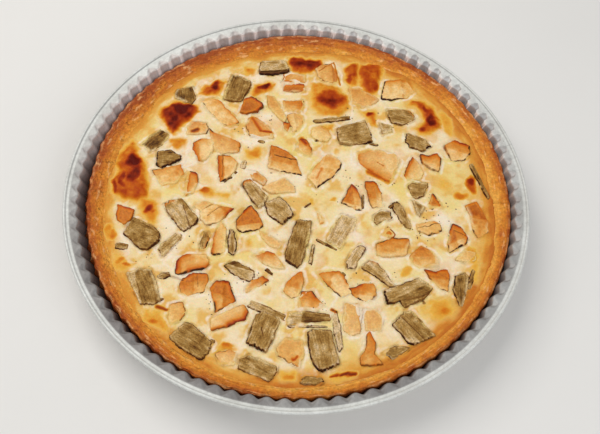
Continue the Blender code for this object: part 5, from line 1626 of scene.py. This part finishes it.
class TartSizes(PropertyGroup):
    """Sizes of the tart's surfaces."""

    flute_columns: IntProperty(
        name="Columns a flute", description="Points round each of the tin's flutes",
        default=14, min=6, max=24)
    tin_dent: FloatProperty(
        name="Tin unevenness", description="Waviness of the tin's flange, in millimetres",
        default=0.12, min=0.0, max=1.0)
    crust_columns: IntProperty(
        name="Pastry columns", description="Points round the pastry's rim",
        default=1440, min=360, max=1800)
    crust_rows: IntProperty(
        name="Pastry rows", description="Points across the pastry's rim",
        default=50, min=20, max=60)
    crust_scallop: FloatProperty(
        name="Pastry scallop", description="Trace of the flutes on the rim, in millimetres",
        default=0.7, min=0.0, max=1.5)
    crust_crag: FloatProperty(
        name="Pastry crag", description="Roughness of the baked rim, in millimetres",
        default=0.80, min=0.0, max=1.0)
    custard_lump: FloatProperty(
        name="Custard lumps", description="Unevenness of the custard, in millimetres",
        default=0.85, min=0.0, max=1.0)
    custard_fold: FloatProperty(
        name="Custard folds", description="Height of the custard's thin folds, in millimetres",
        default=0.65, min=0.0, max=1.0)
    custard_lip: FloatProperty(
        name="Custard lip", description="Height of the custard against the fruit, in millimetres",
        default=1.15, min=0.0, max=2.0)
    edge_glow: FloatProperty(
        name="Edge browning", description="How brown the custard is at the pastry",
        default=0.84, min=0.0, max=1.0)
    ragged: FloatProperty(
        name="Ragged cut", description="Unevenness of the fruit's outlines, in millimetres",
        default=0.50, min=0.0, max=1.0)
    fray: FloatProperty(
        name="Frayed ends", description="How unevenly the rhubarb's fibres end, in millimetres",
        default=0.8, min=0.0, max=2.0)
    facet_slope: FloatProperty(
        name="Facet slope", description="How steeply apple falls away beyond its ridge",
        default=0.6, min=0.0, max=1.0)
    toast_glow: FloatProperty(
        name="Toast glow", description="Strength of the faint toast inside an apple's edge",
        default=0.62, min=0.0, max=1.0)
    warm_flesh: FloatProperty(
        name="Warm flesh", description="How much deeper apple's colour is near toasted edges",
        default=0.9, min=0.0, max=2.0)
    ridge_toast: FloatProperty(
        name="Ridge toast", description="How browned the ridges of the apple are",
        default=0.35, min=0.0, max=1.0)
    fibre_spacing: FloatProperty(
        name="Fibre spacing", description="Width of a rhubarb fibre, in millimetres",
        default=0.8, min=0.3, max=2.0)
    fibre_depth: FloatProperty(
        name="Fibre depth", description="Height of the rhubarb's fibres, in millimetres",
        default=0.16, min=0.0, max=0.6)
    fleck_seed: IntProperty(
        name="Fleck scatter", description="Which scatter of the dark flecks is used",
        default=4, min=0)
    key_power: FloatProperty(
        name="Key light", description="Power of the large soft light from the upper left",
        default=7.9, min=0.0, max=60.0, unit="POWER")
    fill_power: FloatProperty(
        name="Fill light", description="Power of the soft light from the front right",
        default=5.6, min=0.0, max=60.0, unit="POWER")
    sky: FloatProperty(
        name="Surroundings", description="Brightness of the light from all round",
        default=0.39, min=0.0, max=3.0)


class TartColours(PropertyGroup):
    """Main colours of the tart's finishes."""

    tin: FloatVectorProperty(
        name="Tin", description="Clean sheet metal", subtype="COLOR",
        default=linear(220, 221, 216), min=0.0, max=1.0)
    tin_dull: FloatVectorProperty(
        name="Dull tin", description="Worn sheet metal", subtype="COLOR",
        default=linear(206, 206, 200), min=0.0, max=1.0)
    # Colour of the painted shade in the grooves' traces and on the near flange; outside, a plain
    # grey.
    tin_shade_grey: FloatVectorProperty(
        name="Painted groove shade", description="Sheet metal in the grooves", subtype="COLOR",
        default=linear(136, 133, 131), min=0.0, max=1.0)
    custard_pale: FloatVectorProperty(
        name="Pale custard", description="Custard where it is whitest", subtype="COLOR",
        default=linear(243, 221, 176), min=0.0, max=1.0)
    custard_cream: FloatVectorProperty(
        name="Cream custard", description="Custard where it is yellower", subtype="COLOR",
        default=linear(237, 206, 138), min=0.0, max=1.0)
    floor: FloatVectorProperty(
        name="Floor", description="The plain floor", subtype="COLOR",
        default=linear(232, 230, 226), min=0.0, max=1.0)


# ---- Operators ----

class TartOperator:
    """What the operators share: undo, and the settings of the scene."""

    bl_options = {"REGISTER", "UNDO"}

    def settings(self, context):
        """The sizes and the colours of the scene."""
        return context.scene.tart_sizes, context.scene.tart_colours


class TART_OT_tin(TartOperator, Operator):
    """Builds the fluted tin with its flange and rolled bead"""

    bl_idname = "tart.tin"
    bl_label = "Tin"

    def execute(self, context):
        sizes, colours = self.settings(context)
        mesh_piece("fluted_tin", tin_shape(sizes), tin_material(colours),
                   ("tart_tin",))
        return {"FINISHED"}


class TART_OT_pastry(TartOperator, Operator):
    """Builds the baked pastry case with its craggy rim"""

    bl_idname = "tart.pastry"
    bl_label = "Pastry"

    def execute(self, context):
        sizes, _ = self.settings(context)
        mesh_piece("pastry_case", crust_shape(sizes), pastry_material(),
                   ("pastry_crust",))
        return {"FINISHED"}


class TART_OT_custard(TartOperator, Operator):
    """Builds the baked custard with its blisters and the lips round the fruit"""

    bl_idname = "tart.custard"
    bl_label = "Custard"

    def execute(self, context):
        sizes, colours = self.settings(context)
        shape = custard_shape(sizes, fruit_layout())
        mesh_piece("custard", shape, custard_material(colours),
                   ("custard_filling",))
        return {"FINISHED"}


class TART_OT_fruit(TartOperator, Operator):
    """Builds the cut rhubarb and apple, proud and sunk, and the thin shreds"""

    bl_idname = "tart.fruit"
    bl_label = "Fruit"

    def execute(self, context):
        sizes, colours = self.settings(context)
        materials = (apple_material(colours), rhubarb_material(colours))
        pieces = fruit_layout()
        names = {(0, False): "apple_pieces", (1, False): "rhubarb_pieces",
                 (0, True): "sunk_apple", (1, True): "rhubarb_shreds"}
        for (kind, sunk), name in names.items():
            chosen = [piece for piece in pieces if (piece.kind, piece.sunk > 0) == (kind, sunk)]
            shapes = [cut_piece(piece, sizes) for piece in chosen]
            if kind and sunk:
                shapes += shred_shapes(sizes)
            mesh_piece(name, joined(shapes), materials[kind],
                       [piece.node for piece in chosen if piece.node])
        return {"FINISHED"}


class TART_OT_flecks(TartOperator, Operator):
    """Scatters the tiny dark flecks on the custard"""

    bl_idname = "tart.flecks"
    bl_label = "Flecks"

    def execute(self, context):
        sizes, _ = self.settings(context)
        custard = bpy.data.objects.get("custard")
        if custard is None:
            raise RuntimeError("the flecks lie on the custard: build it first")
        points = mesh_points(custard.data)[:(CUSTARD_CELLS + 1) ** 2]

        def height_at(plan):
            """Height of the custard's nearest grid point under each place."""
            nearest = [np.hypot(*(points[:, :2] - place).T).argmin() for place in plan]
            return points[nearest, 2]

        mesh_piece("charred_flecks", fleck_shape(sizes, height_at), fleck_material())
        return {"FINISHED"}


class TART_OT_stage(TartOperator, Operator):
    """Sets the plain pale floor, the soft studio light and the camera"""

    bl_idname = "tart.stage"
    bl_label = "Stage"

    def execute(self, context):
        sizes, colours = self.settings(context)
        scene = context.scene
        mesh = bpy.data.meshes.new("floor")
        corners = [(x * FLOOR_HALF, y * FLOOR_HALF, -FLOOR_DROP)
                   for x, y in ((-1, -1), (1, -1), (1, 1), (-1, 1))]
        mesh.from_pydata(corners, [], [(0, 1, 2, 3)])
        mesh.materials.append(floor_material(colours))
        floor = bpy.data.objects.new("floor", mesh)
        scene.collection.objects.link(floor)
        world = bpy.data.worlds.new("studio")
        world.use_nodes = True
        background = world.node_tree.nodes["Background"]
        background.inputs["Color"].default_value = WORLD_TINT
        background.inputs["Strength"].default_value = sizes.sky
        scene.world = world
        scene.view_settings.view_transform = "Standard"
        self.area_light("key_light", *KEY_LIGHT, sizes.key_power)
        self.area_light("fill_light", *FILL_LIGHT, sizes.fill_power)
        self.place_camera(scene)
        return {"FINISHED"}

    def area_light(self, name, place, size, colour, power):
        """A square soft light that faces the tart."""
        light = bpy.data.lights.new(name, "AREA")
        light.size = size
        light.energy = power
        light.color = colour
        lamp = bpy.data.objects.new(name, light)
        lamp.location = place
        lamp.rotation_euler = (-Vector(place)).to_track_quat("-Z", "Y").to_euler()
        bpy.context.scene.collection.objects.link(lamp)

    def place_camera(self, scene):
        """The camera at the photograph's angle, turned a little about its own axis."""
        data = bpy.data.cameras.new("camera")
        data.sensor_width = SENSOR_WIDTH
        data.lens = VIEW_LENS
        data.clip_start = VIEW_NEAREST
        camera = bpy.data.objects.new("camera", data)
        rise = math.radians(VIEW_ELEVATION)
        back = Vector((0, -math.cos(rise), math.sin(rise)))
        turn = back.to_track_quat("Z", "Y").to_matrix().to_4x4()
        roll = Matrix.Rotation(math.radians(VIEW_ROLL), 4, "Z")
        camera.matrix_world = Matrix.Translation(
            Vector(VIEW_TARGET) + back * VIEW_DISTANCE) @ turn @ roll
        scene.collection.objects.link(camera)
        scene.camera = camera


class TART_PT_tools(Panel):
    """The tart's pieces and settings in the sidebar"""

    bl_idname = "TART_PT_tools"
    bl_label = "Rhubarb tart"
    bl_space_type = "VIEW_3D"
    bl_region_type = "UI"
    bl_category = "Tart"

    def draw(self, context):
        layout = self.layout
        for operator in OPERATORS:
            layout.operator(operator.bl_idname)
        for group in (context.scene.tart_sizes, context.scene.tart_colours):
            box = layout.box()
            for name in group.__annotations__:
                box.prop(group, name)


OPERATORS = (TART_OT_stage, TART_OT_tin, TART_OT_pastry, TART_OT_custard, TART_OT_fruit,
             TART_OT_flecks)
CLASSES = (TartSizes, TartColours, *OPERATORS, TART_PT_tools)


def register():
    """Registers the classes and hangs the settings on the scene."""
    for item in CLASSES:
        bpy.utils.register_class(item)
    bpy.types.Scene.tart_sizes = PointerProperty(type=TartSizes)
    bpy.types.Scene.tart_colours = PointerProperty(type=TartColours)


def unregister():
    """Takes the settings and the classes away again."""
    del bpy.types.Scene.tart_colours
    del bpy.types.Scene.tart_sizes
    for item in reversed(CLASSES):
        bpy.utils.unregister_class(item)


def main():
    """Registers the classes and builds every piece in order."""
    register()
    bpy.ops.tart.stage()
    bpy.ops.tart.tin()
    bpy.ops.tart.pastry()
    bpy.ops.tart.custard()
    bpy.ops.tart.fruit()
    bpy.ops.tart.flecks()
    bpy.context.view_layer.update()


if __name__ == "__main__":
    main()
